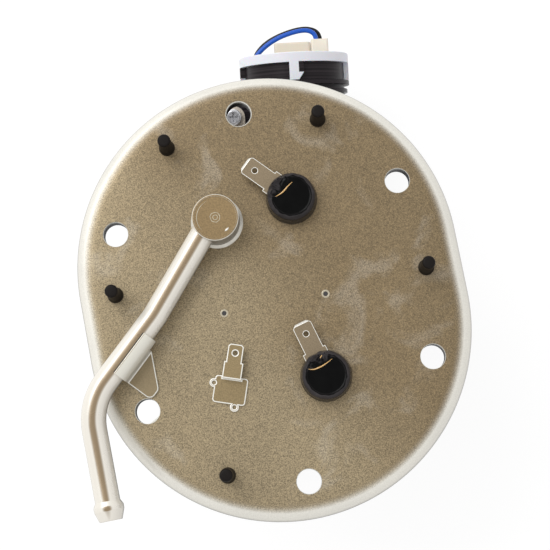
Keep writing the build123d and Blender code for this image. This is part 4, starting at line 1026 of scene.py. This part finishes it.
# ------------------------------------------------------------------------------- cords
@dataclass
class Cord:
    """A wire or hose on one smooth line, fixed at both ends. All sizes are metres.

    Attributes:
        name: The piece's name.
        node: The solid it stands for.
        look: Its finish.
        diameter: Outside diameter.
        length: Real length; not used.
        pump_route: Up, right and along in the pump's frame.
        row_route: The remaining points, in the row frame.
        stiffness: How it bends; not used.
    """

    name: str
    node: str
    look: Look
    diameter: float
    length: float
    pump_route: tuple[Point, ...]
    row_route: tuple[Point, ...]
    stiffness: str = "medium"

    def build(self) -> Piece:
        """Returns:
            The dressed curve.
        """
        place = PumpPlace.matrix()
        points = [place @ Vector(point) for point in self.pump_route]
        points += [Vector(point) for point in self.row_route]
        piece = Forge.line(self.name, points, self.diameter / 2, [1.0] * len(points))
        Forge.dress(piece, self.look, self.node)
        return piece


BLUE_WIRE = Cord(
    "blue_wire_line", "blue_wire", Look.BLUE, 0.00165, 0.1806,
    pump_route=(
        (0.0042, 0.0087, 0.0017), (0.0042, 0.0087, 0.0064), (0.0042, 0.0062, 0.0088),
        (0.0043, 0.0012, 0.0086), (0.0043, -0.0066, 0.0061), (0.0040, -0.0133, 0.0010),
        (0.0020, -0.0147, -0.0035), (-0.0044, -0.0138, -0.0068), (-0.0106, -0.0098, -0.0074),
        (-0.0142, -0.0026, -0.0072), (-0.0175, 0.0070, -0.0070), (-0.0220, 0.0096, -0.0125),
        (-0.0206, 0.0126, -0.0240), (-0.0120, 0.0206, -0.0335), (0.0020, 0.0246, -0.0415),
        (0.0180, 0.0244, -0.0480), (0.0350, 0.0228, -0.0525),
    ),
    row_route=((0.0297, 0.0296, -0.0005), (0.0177, 0.0296, -0.0005)),
)
BLACK_WIRE = Cord(
    "black_wire_line", "black_wire", Look.WIRE_BLACK, 0.00165, 0.2089,
    pump_route=(
        (-0.0010, 0.0101, 0.0017), (-0.0010, 0.0101, 0.0062), (-0.0004, 0.0086, 0.0090),
        (0.0006, 0.0040, 0.0100), (0.0016, -0.0034, 0.0082), (0.0012, -0.0102, 0.0050),
        (-0.0016, -0.0143, 0.0004), (-0.0064, -0.0132, -0.0034), (-0.0114, -0.0086, -0.0049),
        (-0.0142, -0.0014, -0.0049), (-0.0166, 0.0072, -0.0050), (-0.0216, 0.0116, -0.0090),
        (-0.0220, 0.0156, -0.0190), (-0.0144, 0.0226, -0.0300), (-0.0020, 0.0264, -0.0430),
        (0.0105, 0.0272, -0.0580), (0.0240, 0.0272, -0.0720), (0.0380, 0.0250, -0.0830),
        (0.0500, 0.0204, -0.0900),
    ),
    row_route=((0.022782, -0.014616, -0.0005), (0.015394, -0.024072, -0.0005)),
)
OUTLET_HOSE = Cord(
    "outlet_hose_line", "outlet_hose", Look.HOSE, 0.012, 0.1366,
    pump_route=(
        (-0.0262, -0.0046, -0.0045), (-0.0262, -0.0046, -0.0400), (-0.0225, -0.0215, -0.0580),
        (-0.0060, -0.0330, -0.0675), (0.0160, -0.0344, -0.0670),
    ),
    row_route=((-0.0135, 0.02665, -0.0280), (-0.0135, 0.02665, -0.0055)),
    stiffness="stiff",
)


# ------------------------------------------------------------------------------- flange
@dataclass
class Flange:
    """Stamped plate with a rolled rim, its gasket's nipples and its weld marks.

    Attributes:
        seat: Height of the plate's underside.
        rim: Radius of the outline at the skirt.
        roll: How far in the rim's rounding reaches underneath.
        crown: How far in it reaches on top.
        skirt_low: Height of the skirt's lower edge.
        chamfer: Break of a hole's upper edge; wide_chamfer is the worn one.
        bolt_pitch: Distance of the outer holes from the arcs' centres.
        nipple_sides: Centres of the two nipples beside the middle.
        nipple_profile: Radius, and height over the plate, of a nipple's bulge.
        nipple_height: Height over the plate of a nipple's end.
        nipple_edge: Rounding of its end.
        weld_profile: Radius and height of a weld's raised ring; pit_profile is its pit.
    """

    seat: float = 4.0
    thickness: float = 2.0
    rim: float = 62.0
    roll: float = 4.5
    crown: float = 6.6
    skirt_low: float = 1.0
    chamfer: float = 0.12
    wide_chamfer: float = 0.32
    bolt_pitch: float = 50.0
    bolt_angle: float = 21.7
    bolt_radius: float = 4.0
    nipple_angle: float = 30.0
    nipple_radius: float = 2.1
    nipple_sides: tuple[Spot, ...] = ((50.0, -0.5), (-50.0, 9.6))
    nipple_profile: tuple[Spot, ...] = ((2.6, 0.02), (2.6, 0.35), (2.5, 0.9), (2.24, 2.3))
    nipple_height: float = 12.5
    nipple_edge: float = 0.8
    terminal_radius: float = 4.5
    boss_radius: float = 5.0
    welds: tuple[Spot, ...] = ((16.6, -2.8), (-16.6, -2.8))
    weld_profile: tuple[Spot, ...] = ((0.7, -0.1), (0.82, 0.07), (1.0, 0.12), (1.2, 0.07), (1.4, -0.1))
    pit_profile: tuple[Spot, ...] = ((0.0, -0.1), (0.78, -0.1), (0.72, 0.03), (0.0, 0.01))
    outline: Outline = field(default_factory=Outline)

    @property
    def top(self) -> float:
        """Height of the plate's top face."""
        return self.seat + self.thickness

    def build(self) -> None:
        """Make the plate and what shows in it."""
        self.plate()
        self.gasket()
        self.nipples()
        self.weld_marks()

    def nipple_places(self) -> list[Spot]:
        """Centres of the five nipples."""
        side = self.bolt_pitch * math.sin(math.radians(self.nipple_angle))
        end = self.outline.arc_offset + self.bolt_pitch * math.cos(math.radians(self.nipple_angle))
        return [(-side, end), (side, end), (-side, -end), *self.nipple_sides]

    def holes(self) -> list[tuple[float, float, float, float]]:
        """Centre, radius and chamfer of every hole; the one over the bracket's screw is worn widest."""
        angle = math.radians(self.bolt_angle)
        x = self.bolt_pitch * math.cos(angle)
        y = self.outline.arc_offset + self.bolt_pitch * math.sin(angle)
        end = self.outline.arc_offset + self.bolt_pitch
        sizes = (
            (((x, y), (x, -y), (-x, y), (-x, -y)), self.bolt_radius, self.chamfer),
            (((0.0, end),), self.bolt_radius, self.wide_chamfer),
            (((0.0, -end),), self.bolt_radius, self.chamfer),
            (self.nipple_places(), self.nipple_radius, self.chamfer),
            (TERMINALS, self.terminal_radius, self.chamfer),
            ((BOSS,), self.boss_radius, self.chamfer),
        )
        return [(*spot, radius, chamfer) for spots, radius, chamfer in sizes for spot in spots]

    def face(self, radius: float, widen: bool, height: float) -> tuple[list[Point], list[Face]]:
        """Triangles between the outline and the holes.

        Args:
            radius: The outline's radius.
            widen: Whether each hole's chamfer is added to its radius.
            height: Height of the face.

        Returns:
            Points and faces.
        """
        loops = [self.outline.loop(radius)]
        rounds = [(x, y, hole + chamfer * widen) for x, y, hole, chamfer in self.holes()]
        loops += [Outline.circle(*item) for item in rounds]
        flat: list[Vector] = []
        edges: list[tuple[int, int]] = []
        for loop in loops:
            start, count = len(flat), len(loop)
            flat += map(Vector, loop)
            edges += [(start + index, start + (index + 1) % count) for index in range(count)]
        points, _, faces, *_ = geometry.delaunay_2d_cdt(flat, edges, [], 1, 1e-5)
        kept = []
        for face in faces:
            centre = sum((points[index] for index in face), Vector((0, 0))) / len(face)
            if all((centre - Vector((x, y))).length > hole for x, y, hole in rounds):
                kept.append(tuple(face))
        return [(point.x, point.y, height) for point in points], kept

    def rim_profile(self) -> list[Spot]:
        """Radius and height pairs around the rolled rim, from the top face to the underside."""
        flat, level = self.rim - self.roll, self.rim - self.crown
        inner = self.roll - self.thickness
        middle = self.top - self.roll
        outer_arc = [math.pi / 2 * step / 14 for step in range(15)]
        inner_arc = [math.pi / 2 * (1 - step / 10) for step in range(11)]
        return [
            *((level + self.crown * math.sin(turn), middle + self.roll * math.cos(turn))
              for turn in outer_arc),
            (self.rim, self.skirt_low), (flat + inner, self.skirt_low),
            *((flat + inner * math.sin(turn), middle + inner * math.cos(turn)) for turn in inner_arc),
        ]

    def plate(self) -> None:
        """The plate: two faces, the hole walls and the rolled rim."""
        points: list[Point] = []
        faces: list[Face] = []
        for reach, widen, height in ((self.crown, True, self.top), (self.roll, False, self.seat)):
            more, found = self.face(self.rim - reach, widen, height)
            faces += [tuple(index + len(points) for index in face) for face in found]
            points += more
        rings = []
        for x, y, hole, chamfer in self.holes():
            walls = ((hole + chamfer, self.top), (hole, self.top - chamfer), (hole, self.seat))
            rings.append([(Outline.circle(x, y, radius), height) for radius, height in walls])
        rings.append([(self.outline.loop(radius), height) for radius, height in self.rim_profile()])
        for ring in rings:
            faces += quads(len(ring), len(ring[0][0]), start=len(points))
            points += [(*spot, height) for loop, height in ring for spot in loop]
        plate = Forge.mesh("flange_plate_sheet", points, faces, ROW)
        Forge.dress(plate, Look.PLATE, "flange_plate")

    def gasket(self) -> None:
        """The gasket's ring, without its nipples."""
        def without_nipples(work: bmesh.types.BMesh) -> None:
            """Cut the nipples off just above the ring and close the cuts."""
            everything = [*work.verts, *work.edges, *work.faces]
            level = (0.0, 0.0, (self.seat + 0.02) * MM)
            bmesh.ops.bisect_plane(work, geom=everything, plane_co=level, plane_no=(0, 0, 1),
                                   clear_outer=True)
            bmesh.ops.edgeloop_fill(work, edges=[edge for edge in work.edges if edge.is_boundary])

        Forge.refined("seal_gasket", Look.SEAL, 0.2, keep=without_nipples)

    def nipples(self) -> None:
        """Rubber nipples pulled up through the plate."""
        radius, edge = self.nipple_radius, self.nipple_edge
        high = self.top + self.nipple_height
        profile = [(0.0, self.seat), (radius, self.seat), (radius, self.top)]
        profile += [(bulge, self.top + height) for bulge, height in self.nipple_profile]
        profile.append((radius, self.top + 2.8))
        for turn in (math.pi / 2 * step / 6 for step in range(7)):
            profile.append((radius - edge + edge * math.cos(turn), high - edge + edge * math.sin(turn)))
        profile.append((0.0, high))
        shape = Forge.lathe("nipple_shape", profile, ROW, segments=40)
        places = self.raised(self.nipple_places(), 0.0)
        Scatter.place("gasket_nipples", shape, places, Look.SEAL, spin=6.0, nodes=["seal_gasket"])

    def weld_marks(self) -> None:
        """A dark pit in a small raised ring over each spot weld."""
        places = self.raised(self.welds, self.top)
        for name, profile, look, spread in (("weld_marks", self.weld_profile, Look.WELD, 0.06),
                                            ("weld_pits", self.pit_profile, Look.DARK, 0.0)):
            shape = Forge.lathe(f"{name}_shape", profile, ROW, segments=32)
            Scatter.place(name, shape, places, look, spread=spread, spin=6.0)

    @staticmethod
    def raised(spots: Sequence[Spot], height: float) -> list[Matrix]:
        """Places over the plate, in metres."""
        return [Matrix.Translation(Vector((x, y, height)) * MM) for x, y in spots]


@dataclass
class OutletLine:
    """Boss, bent pipe with its hose bead, and the saddle that holds the pipe.

    Attributes:
        height: Height of the pipe's centre line.
        start: Where the pipe's line leaves the boss; kink, bend and end follow along it.
        start_gap: Distance from the start to the pipe's first ring.
        boss_floor: Height of the boss's top.
        shadow_line_angle: Lean in degrees of the painted shadow line from the pipe's crest.
        shadow_line_span: Distance of the painted shadow line's ends from the kink.
        shadow_line_radius: The painted shadow line's radius.
        mark_radii: Radii of the rings on the boss.
        mark_profile: Offset from a ring's radius, and height, across its ridge.
        mark_arcs: Name, radius, first and last angle, line radius and finish of each arc.
        bead: Distance from the pipe's end, and radius, along the hose bead.
    """

    height: float = 12.2
    start: Spot = (-14.5, 27.5)
    kink: Spot = (-38.3, -0.25)
    bend: Spot = (-63.5, -23.6)
    end: Spot = (-63.2, -61.0)
    kink_radius: float = 30.0
    bend_radius: float = 20.0
    start_gap: float = 3.2
    pipe_radius: float = 4.0
    bore: float = 3.0
    boss_floor: float = 16.75
    shadow_line_angle: float = 9.6
    shadow_line_span: Spot = (6.4, 21.9)
    shadow_line_radius: float = 0.13
    mark_radii: Spot = (0.75, 1.55)
    mark_profile: tuple[Spot, ...] = ((-0.16, -0.08), (-0.09, 0.05), (0.09, 0.05), (0.16, -0.08))
    mark_arcs: tuple[tuple[str, float, float, float, float, Look], ...] = (
        ("boss_arc", 5.9, 105.0, 215.0, 0.12, Look.WELD),
        # a raised nick coloured as a painted highlight
        ("boss_nick", 5.4, -66.0, -48.0, 0.34, Look.TRIM),
    )
    bead: tuple[Spot, ...] = (
        (6.3, 4.0), (6.1, 4.04), (4.9, 4.7), (4.6, 4.8), (3.4, 4.8), (3.1, 4.74), (0.5, 3.8), (0.15, 3.68),
        (0.0, 3.5),
    )

    def build(self) -> None:
        """Make the pieces."""
        Forge.refined("outlet_boss", Look.BOSS, 0.16)
        self.boss_marks()
        self.pipe()
        Forge.refined("pipe_saddle", Look.SADDLE, 0.3, steps=3, highlight_border=0.35)
        self.saddle_gap()

    def boss_marks(self) -> None:
        """Turning marks on the boss's top: two small rings, a faint arc and a raised nick coloured as a
        painted highlight.
        """
        place = ROW @ Matrix.Translation((*BOSS, self.boss_floor))
        for number, radius in enumerate(self.mark_radii, 1):
            ridge = [(radius + offset, height) for offset, height in self.mark_profile]
            mark = Forge.lathe(f"boss_ring_{number}", ridge, place, segments=48, ripple=self.unsteady)
            Forge.dress(mark, Look.WELD)
        for name, radius, start, end, width, look in self.mark_arcs:
            turns = [math.radians(start + (end - start) * step / 12) for step in range(13)]
            arc = [place @ Vector((radius * math.cos(turn), radius * math.sin(turn), 0.0)) for turn in turns]
            shares = [math.sin(math.pi * (step + 0.5) / 13) for step in range(13)]
            Forge.bead(name, arc, width * MM, shares, look)

    def saddle_gap(self) -> None:
        """Painted shadow: a dark line where the saddle's free edge meets the pipe."""
        kink, bend = (Vector((*point, self.height)) for point in (self.kink, self.bend))
        along = (bend - kink).normalized()
        aside = Vector((0.0, 0.0, 1.0)).cross(along)
        lean = math.radians(self.shadow_line_angle)
        offset = self.pipe_radius * (aside * math.sin(lean) + Vector((0.0, 0.0, math.cos(lean))))
        low, high = self.shadow_line_span
        points = [(kink + along * (low + (high - low) * step / 8) + offset) * MM for step in range(9)]
        Forge.bead("saddle_gap", points, self.shadow_line_radius * MM, [1.0] * len(points), Look.DARK)

    @staticmethod
    def unsteady(angle: float, radius: float, height: float) -> Spot:
        """A turning mark's slight wander."""
        return radius * (1 + 0.12 * round_noise(angle, 2.0, radius)), height

    def pipe(self) -> None:
        """The pipe, with the bead's setbacks and radii at its end."""
        corners = [Vector((x, y, self.height)) for x, y in (self.start, self.kink, self.bend, self.end)]
        corners[0] += (corners[1] - corners[0]).normalized() * self.start_gap
        path = Forge.rounded(corners, (self.kink_radius, self.bend_radius))
        along = (corners[3] - corners[2]).normalized()
        path.pop()
        rings = [(index, self.pipe_radius) for index in range(len(path))]
        for setback, radius in self.bead:
            rings.append((len(path), radius))
            path.append(corners[3] - along * setback)
        pipe = Forge.tube("outlet_pipe_tube", path, rings, ROW, segments=72, bore=self.bore, sharp=50)
        Forge.dress(pipe, Look.PIPE, "outlet_pipe")


@dataclass
class Terminal:
    """A push-on blade that stands in a potted insulator.

    Attributes:
        side: Which terminal, as in the nodes' names.
        centre: Its place on the flange.
        turn: Direction of the blade in degrees.
        amber_lines: Raised amber lines on the potting, in the row frame.
        seed: Varies the potting's lumps.
        base: Height of the plate it stands on.
        radius: The insulator's radius, and height its height over the plate.
        pool: Height of the potting's level middle.
        crest: Height of the potting's round shoulder.
        tip_slope: Bevel of the blade's tip.
        blade_edge: Rounding of the blade's edges, and the width of their painted highlight border.
        amber_line_radius: Radius of an amber line at its middle.
    """

    side: str
    centre: Spot
    turn: float
    amber_lines: tuple[tuple[Point, ...], ...]
    seed: float
    base: float = 6.0
    radius: float = 8.3
    height: float = 4.0
    pool: float = 12.75
    crest: float = 12.9
    tip_slope: float = 0.6
    blade_edge: float = 0.2
    amber_line_radius: float = 0.27

    @property
    def rim(self) -> float:
        """Height of the insulator's top."""
        return self.base + self.height

    def build(self) -> None:
        """Make the insulator, potting, blade and amber lines."""
        place = ROW @ Matrix.Translation((*self.centre, 0.0))
        insulator = Forge.lathe(f"insulator_cup_{self.side}", self.cup(), place, ripple=self.wobble,
                                sharp=60)
        Forge.dress(insulator, Look.BLACK, f"terminal_insulator_{self.side}")
        potting = Forge.lathe(f"potting_mound_{self.side}", self.mound(), place, segments=144,
                              ripple=self.lumps, sharp=80)
        Forge.dress(potting, Look.RESIN, f"potting_{self.side}")
        Forge.refined(f"terminal_blade_{self.side}", Look.TAB, self.blade_edge, steps=3,
                      highlight_border=self.blade_edge, keep=self.slope_tip)
        for number, points in enumerate(self.amber_lines, 1):
            middle = len(points) // 2
            shares = [1.0 - 0.75 * abs(index - middle) / middle for index in range(len(points))]
            Forge.bead(f"potting_seam_{self.side}_{number}", [Vector(point) * MM for point in points],
                       self.amber_line_radius * MM, shares, Look.AMBER)

    def cup(self) -> list[Spot]:
        """Radius and height pairs of the insulator."""
        low, high, wide = self.base, self.rim, self.radius
        return [(0.0, low - 2.0), (4.4, low - 2.0), (4.4, low), (wide - 0.1, low), (wide, low + 0.3),
                (wide - 0.1, low + 1.0), (wide - 0.45, high - 0.7), (wide - 0.55, high), (0.0, high)]

    def slope_tip(self, work: bmesh.types.BMesh) -> None:
        """Slope the blade's tip, as a push-on blade has it."""
        ahead = Vector((math.cos(math.radians(self.turn)), math.sin(math.radians(self.turn)), 0.0))
        reach = max(vert.co.dot(ahead) for vert in work.verts)
        top = max(vert.co.z for vert in work.verts)
        tip = [edge for edge in work.edges
               if all(vert.co.dot(ahead) > reach - 1e-5 and vert.co.z > top - 1e-5 for vert in edge.verts)]
        bmesh.ops.bevel(work, geom=tip, offset=self.tip_slope * MM, segments=1, affect="EDGES")

    def mound(self) -> list[Spot]:
        """Radius and height pairs of the potting: a round shoulder around a level pool."""
        low, crest = self.rim - 0.1, self.crest
        pool = (5.6, 5.0, 4.4, 3.9, 3.6, 3.3, 3.0, 2.7, 2.0, 1.0, 0.0)
        return [
            (0.0, low), (7.72, low), (7.78, low + 0.5), (7.7, low + 1.1), (7.5, low + 1.7),
            (7.2, low + 2.2), (6.85, crest - 0.3), (6.5, crest - 0.02), (6.3, crest),
            (6.15, crest - 0.04), (6.0, self.pool + 0.02), *((radius, self.pool) for radius in pool),
        ]

    def wobble(self, angle: float, radius: float, height: float) -> Spot:
        """Slight unevenness of the round."""
        return radius * (1 + 0.012 * round_noise(angle, 1.6, self.seed)), height

    def lumps(self, angle: float, radius: float, height: float) -> Spot:
        """Uneven shoulder, lumps piled on the blade's root and a faint ring in the pool."""
        if height <= self.rim:
            return radius, height
        root_height, edge_height, ring_height = 0.85, 0.14, 0.05
        root_spread, edge_spread = 0.05, 0.035
        off = (angle - math.radians(self.turn) + math.pi) % math.tau - math.pi
        root = bell(off, middle=0.0, width=0.62) * bell(radius, middle=6.2, width=1.7)
        edge = bell(radius, middle=6.9, width=0.9)
        ring = bell(radius, middle=3.3, width=0.35)
        fine = round_noise(angle, radius * 0.75, self.seed)
        height += (root_height * root * (1 + 2.2 * fine) + edge_height * edge * fine
                   + ring_height * ring * (0.6 + fine))
        return radius * (1 + edge_spread * fine * edge + root_spread * root * (1 + fine)), height


# ------------------------------------------------------------------------------- strainer
@dataclass
class Strainer:
    """Mesh bag with a welded seam, on the pump frame's right and along directions.

    Attributes:
        level: Height of the bag's middle plane in the pump's frame.
        thickness: Full thickness of the bag.
        rise: Width over which the cloth rises from the seam.
        neck_radius: Radius of the neck, and neck_end its end along the pump.
        arc: Three points on the bag's round end.
        toe: The corner after the arc; side and the two shoulders follow.
        radii: Rounding of each corner, from the toe on.
        spine_end: Far end of the line from the neck across which the cloth sags.
        rib_share: Share of that line from one rib to the next, and rib_first the first rib's place.
        grid: Distance between the cloth's points.
        skirt_shares: Distances from the edge of the rows of points along the seam, in seam widths.
        dot_profile: Radius and height of a weld dot, and dot_pitch their distance.
    """

    level: float = -7.0
    thickness: float = 9.0
    seam_width: float = 2.2
    seam_thickness: float = 1.4
    rise: float = 4.2
    neck_radius: float = 6.5
    neck_end: float = -102.0
    arc: tuple[Spot, ...] = ((-66.9, -136.3), (-56.5, -150.4), (-42.9, -159.6))
    toe: Spot = (-30.0, -160.5)
    side: Spot = (4.0, -126.0)
    shoulders: tuple[Spot, ...] = ((12.35, -94.0), (-12.35, -94.0))
    radii: tuple[float, ...] = (8.0, 24.0, 5.0, 5.0, 2.5)
    spine_end: Spot = (-43.0, -148.0)
    rib_share: float = 0.22
    rib_first: float = 0.24
    grid: float = 1.6
    skirt_shares: tuple[float, ...] = (0.5, 1.0, 1.12, 1.3)
    dot_profile: tuple[Spot, ...] = ((0.0, -0.05), (0.55, -0.05), (0.5, 0.06), (0.3, 0.14), (0.0, 0.16))
    dot_pitch: float = 2.4

    def build(self) -> None:
        """Make the bag, its weld dots and its moulded parts."""
        self.bag()
        self.weld_dots()
        Forge.refined("strainer_neck", Look.NYLON, 0.2)

    def outline(self) -> list[Vector]:
        """Closed outline of the bag, corners rounded."""
        first, middle, last = map(Vector, self.arc)
        centre = self.circle_centre(first, middle, last)
        reach = (first - centre).length
        turns = [math.atan2(*(point - centre).yx) for point in (first, last)]
        sweep = [turns[0] + (turns[1] - turns[0]) * step / 10 for step in range(11)]
        curve = [centre + reach * Vector((math.cos(turn), math.sin(turn))) for turn in sweep]
        corners = map(Vector, (self.toe, self.side, *self.shoulders))
        flat = [curve[-1], *corners, curve[0], curve[1]]
        path = Forge.rounded([point.to_3d() for point in flat], self.radii, steps=12)
        return [point.to_2d() for point in path[:-1]] + curve[1:-1]

    @staticmethod
    def circle_centre(first: Vector, middle: Vector, last: Vector) -> Vector:
        """Centre of the circle through three points."""
        one, two = (first + middle) / 2, (middle + last) / 2
        across_one = (middle - first).orthogonal()
        across_two = (last - middle).orthogonal()
        return geometry.intersect_line_line(
            one.to_3d(), (one + across_one).to_3d(), two.to_3d(), (two + across_two).to_3d())[0].to_2d()

    def swell(self, spot: Vector, inset: float) -> float:
        """Half thickness of the bag at a spot.

        Args:
            spot: Right and along.
            inset: Distance to the outline.

        Returns:
            The height above the bag's middle plane.
        """
        seam = self.seam_thickness / 2
        if inset < self.seam_width:
            return seam
        rise = min((inset - self.seam_width) / self.rise, 1.0)
        full = seam + (self.thickness / 2 - seam) * math.sqrt(max(0.0, 1 - (1 - rise) ** 2))
        start = Vector((0.0, self.neck_end))
        spine = Vector(self.spine_end) - start
        share = (spot - start).dot(spine) / spine.length_squared
        beside = abs((spot - start).cross(spine) / spine.length)
        between = 0.5 - 0.5 * math.cos(math.tau * (share - self.rib_first) / self.rib_share)
        sag_share, sag_width = 0.14, 9.0
        ruck_share, ruck_width, ruck_scale = 0.05, 6.0, 0.16
        neck_cover, neck_width, neck_length = 0.4, 7.5, 7.0
        sag = sag_share * between * min(beside / sag_width, 1.0) * rise
        ruck = noise.noise(Vector((spot.x * ruck_scale, spot.y * ruck_scale, 3.0)))
        full *= 1 - sag + ruck_share * ruck * min(beside / ruck_width, 1.0)
        over_neck = self.neck_radius + neck_cover - full
        near = math.exp(-(spot.x / neck_width) ** 4)
        near *= bell(max(self.neck_end - spot.y, 0.0), middle=0.0, width=neck_length)
        return full + max(over_neck, 0.0) * near * min(1.0, rise * 1.3)

    def bag(self) -> None:
        """The cloth: two skins that meet in the seam."""
        outline = self.outline()
        spots = list(outline)
        for reach in (self.seam_width * share for share in self.skirt_shares):
            spots += [spot for spot in self.inset(outline, reach)
                      if self.depth(spot, outline) > reach * 0.8]
        low, high = (Vector((end(spot.x for spot in outline), end(spot.y for spot in outline)))
                     for end in (min, max))
        for column in range(int((high.x - low.x) / self.grid)):
            for row in range(int((high.y - low.y) / self.grid)):
                spot = low + Vector((column + 0.5 * (row % 2), row)) * self.grid
                if self.inside(spot, outline) and self.depth(spot, outline) > self.seam_width * 1.5:
                    spots.append(spot)
        count = len(outline)
        edges = [(index, (index + 1) % count) for index in range(count)]
        flat, _, found, *_ = geometry.delaunay_2d_cdt(spots, edges, [], 1, 1e-4)
        heights = [self.swell(spot, self.depth(spot, outline)) for spot in flat]
        points = [(self.level + side * height, spot.x, spot.y)
                  for side in (1, -1) for spot, height in zip(flat, heights)]
        faces = [tuple(index + shift for index in face) for shift in (0, len(flat)) for face in found]
        faces += [(one, two, two + len(flat), one + len(flat)) for one, two in edges]
        bag = Forge.mesh("strainer_bag_cloth", points, faces, PumpPlace.scaled(), sharp=70)
        Forge.dress(bag, Look.MESH, "strainer_bag")

    @staticmethod
    def depth(spot: Vector, outline: Sequence[Vector]) -> float:
        """Distance from a spot to the outline."""
        least = math.inf
        for start, end in sides(outline):
            run = end - start
            share = min(max((spot - start).dot(run) / run.length_squared, 0.0), 1.0)
            least = min(least, (spot - start - run * share).length)
        return least

    @staticmethod
    def inside(spot: Vector, outline: Sequence[Vector]) -> bool:
        """Whether a spot lies within the outline."""
        hits = 0
        for start, end in sides(outline):
            if (start.y > spot.y) != (end.y > spot.y):
                hits += spot.x < start.x + (spot.y - start.y) / (end.y - start.y) * (end.x - start.x)
        return hits % 2 == 1

    @staticmethod
    def inset(outline: Sequence[Vector], distance: float) -> list[Vector]:
        """The outline's points moved inwards."""
        moved = []
        turn = 1 if sum(one.cross(two) for one, two in sides(outline)) > 0 else -1
        for index, spot in enumerate(outline):
            run = outline[(index + 1) % len(outline)] - outline[index - 1]
            moved.append(spot + Vector((-run.y, run.x)).normalized() * distance * turn)
        return moved

    def weld_dots(self) -> None:
        """Rows of small weld dots along both sides of the seam."""
        line = self.inset(self.outline(), self.seam_width / 2)
        shape = Forge.lathe("dot_shape", self.dot_profile, ROW, segments=10)
        spots, run = [], 0.0
        for start, end in sides(line):
            run += (end - start).length
            if run >= self.dot_pitch:
                spots.append(end)
                run = 0.0
        places = []
        for side in (1, -1):
            turn = Matrix.Rotation(side * math.pi / 2, 4, "Y")
            height = self.level + side * self.seam_thickness / 2
            places += [PumpPlace.scaled() @ Matrix.Translation((height, *spot)) @ turn for spot in spots]
        Scatter.place("strainer_weld_dots", shape, places, Look.NYLON, spread=0.15, spin=6.0)


# ------------------------------------------------------------------------------- the CAD's own solids
REFINED = (
    ("hanger_bracket", Look.BRACKET, 0.3),
    ("bracket_screws", Look.SCREW, 0.15),
    ("retaining_cap", Look.CAP, 0.25),
    ("pump_holder", Look.HOLDER, 0.2),
    ("outlet_head", Look.HEAD, 0.2),
    ("pump_plug", Look.PLUG, 0.25),
    ("outlet_elbow", Look.HEAD, 0.15),
    ("hose_clamps", Look.ZINC, 0.1),
    ("ring_lug_upper", Look.TAB, 0.1),
    ("ring_lug_lower", Look.TAB, 0.1),
    ("terminal_nuts", Look.ZINC, 0.2),
    ("terminal_stud_upper", Look.BRASS, 0.15),
    ("terminal_stud_lower", Look.BRASS, 0.15),
    ("inner_bush_upper", Look.DARK, 0.3),
    ("inner_bush_lower", Look.DARK, 0.3),
)
SPRINGS = (
    ("check_valve_spring", "check_valve_lift"),
    ("relief_valve_spring", "relief_valve_lift"),
    ("brush_spring_upper", "upper_brush_travel"),
    ("brush_spring_lower", "lower_brush_travel"),
)
PAINTED = {
    "pump_sleeve": Look.SEAL, "pump_case": Look.CASE, "inlet_cover": Look.CAST, "pump_body": Look.CAST,
    "bearing_bush_lower": Look.BRONZE, "bearing_bush_upper": Look.BRONZE, "magnet_upper": Look.FERRITE,
    "magnet_lower": Look.FERRITE, "magnet_clips": Look.STEEL, "impeller": Look.IMPELLER,
    "rotor_shaft": Look.STEEL, "armature_core": Look.IRON, "armature_windings": Look.COPPER,
    "commutator": Look.COPPER, "check_valve_ball": Look.STEEL, "relief_valve_ball": Look.STEEL,
    "relief_valve_plug": Look.HEAD, "carbon_brush_upper": Look.CARBON, "carbon_brush_lower": Look.CARBON,
    "pump_contacts": Look.TAB, "strainer_frame": Look.NYLON,
}


def fit_spring(node: str, joint: str) -> None:
    """Copy a spring with the steel finish, look up its joint's axis and give the copy its own mesh.

    Args:
        node: The spring's node.
        joint: The spring's joint, whose axis is looked up.
    """
    piece = Forge.refined(node, Look.STEEL)
    travel = next(item for item in frame["joints"] if item["name"] == joint)
    axis = Vector(travel["axis"]).normalized()
    spots = sorted((vertex.co for vertex in piece.data.vertices), key=axis.dot)
    spots[-1].copy()
    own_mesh(piece)


def paint_solids() -> None:
    """Put finishes on the solids that show as they are."""
    for node, look in PAINTED.items():
        for place in frame["nodes"][node].material_slots:
            place.material = look.material
        log.info("painted %s with %s", node, look.value.name)


UPPER_AMBER_LINES = (((6.38, 30.14, 12.84), (8.18, 30.68, 12.92), (9.64, 31.49, 12.96), (11.41, 33.09, 12.92),
                (12.83, 33.87, 12.84)),)
LOWER_AMBER_LINES = (
    ((6.5, -25.98, 12.84), (7.63, -26.58, 12.92), (10.35, -26.11, 12.98), (12.72, -25.15, 12.92),
     (14.41, -24.23, 12.84)),
    ((10.59, -23.42, 13.1), (11.15, -22.86, 13.16), (11.71, -22.29, 13.1)),
)


def main() -> None:
    """Build the scene: camera and cords first, then the flange, the pump's parts and the strainer."""
    logging.basicConfig(level=logging.INFO, format="%(message)s")
    Studio().build()
    for cord in (BLUE_WIRE, BLACK_WIRE, OUTLET_HOSE):
        cord.build()
    Flange().build()
    OutletLine().build()
    Terminal("upper", TERMINALS[0], turn=133.4, amber_lines=UPPER_AMBER_LINES, seed=1.3).build()
    Terminal("lower", TERMINALS[1], turn=105.2, amber_lines=LOWER_AMBER_LINES, seed=4.1).build()
    Forge.refined("earth_tab", Look.EARTH, 0.22, highlight_border=0.35)
    for node, look, bevel in REFINED:
        Forge.refined(node, look, bevel)
    for node, joint in SPRINGS:
        fit_spring(node, joint)
    Strainer().build()
    paint_solids()


if __name__ == "__main__":
    main()
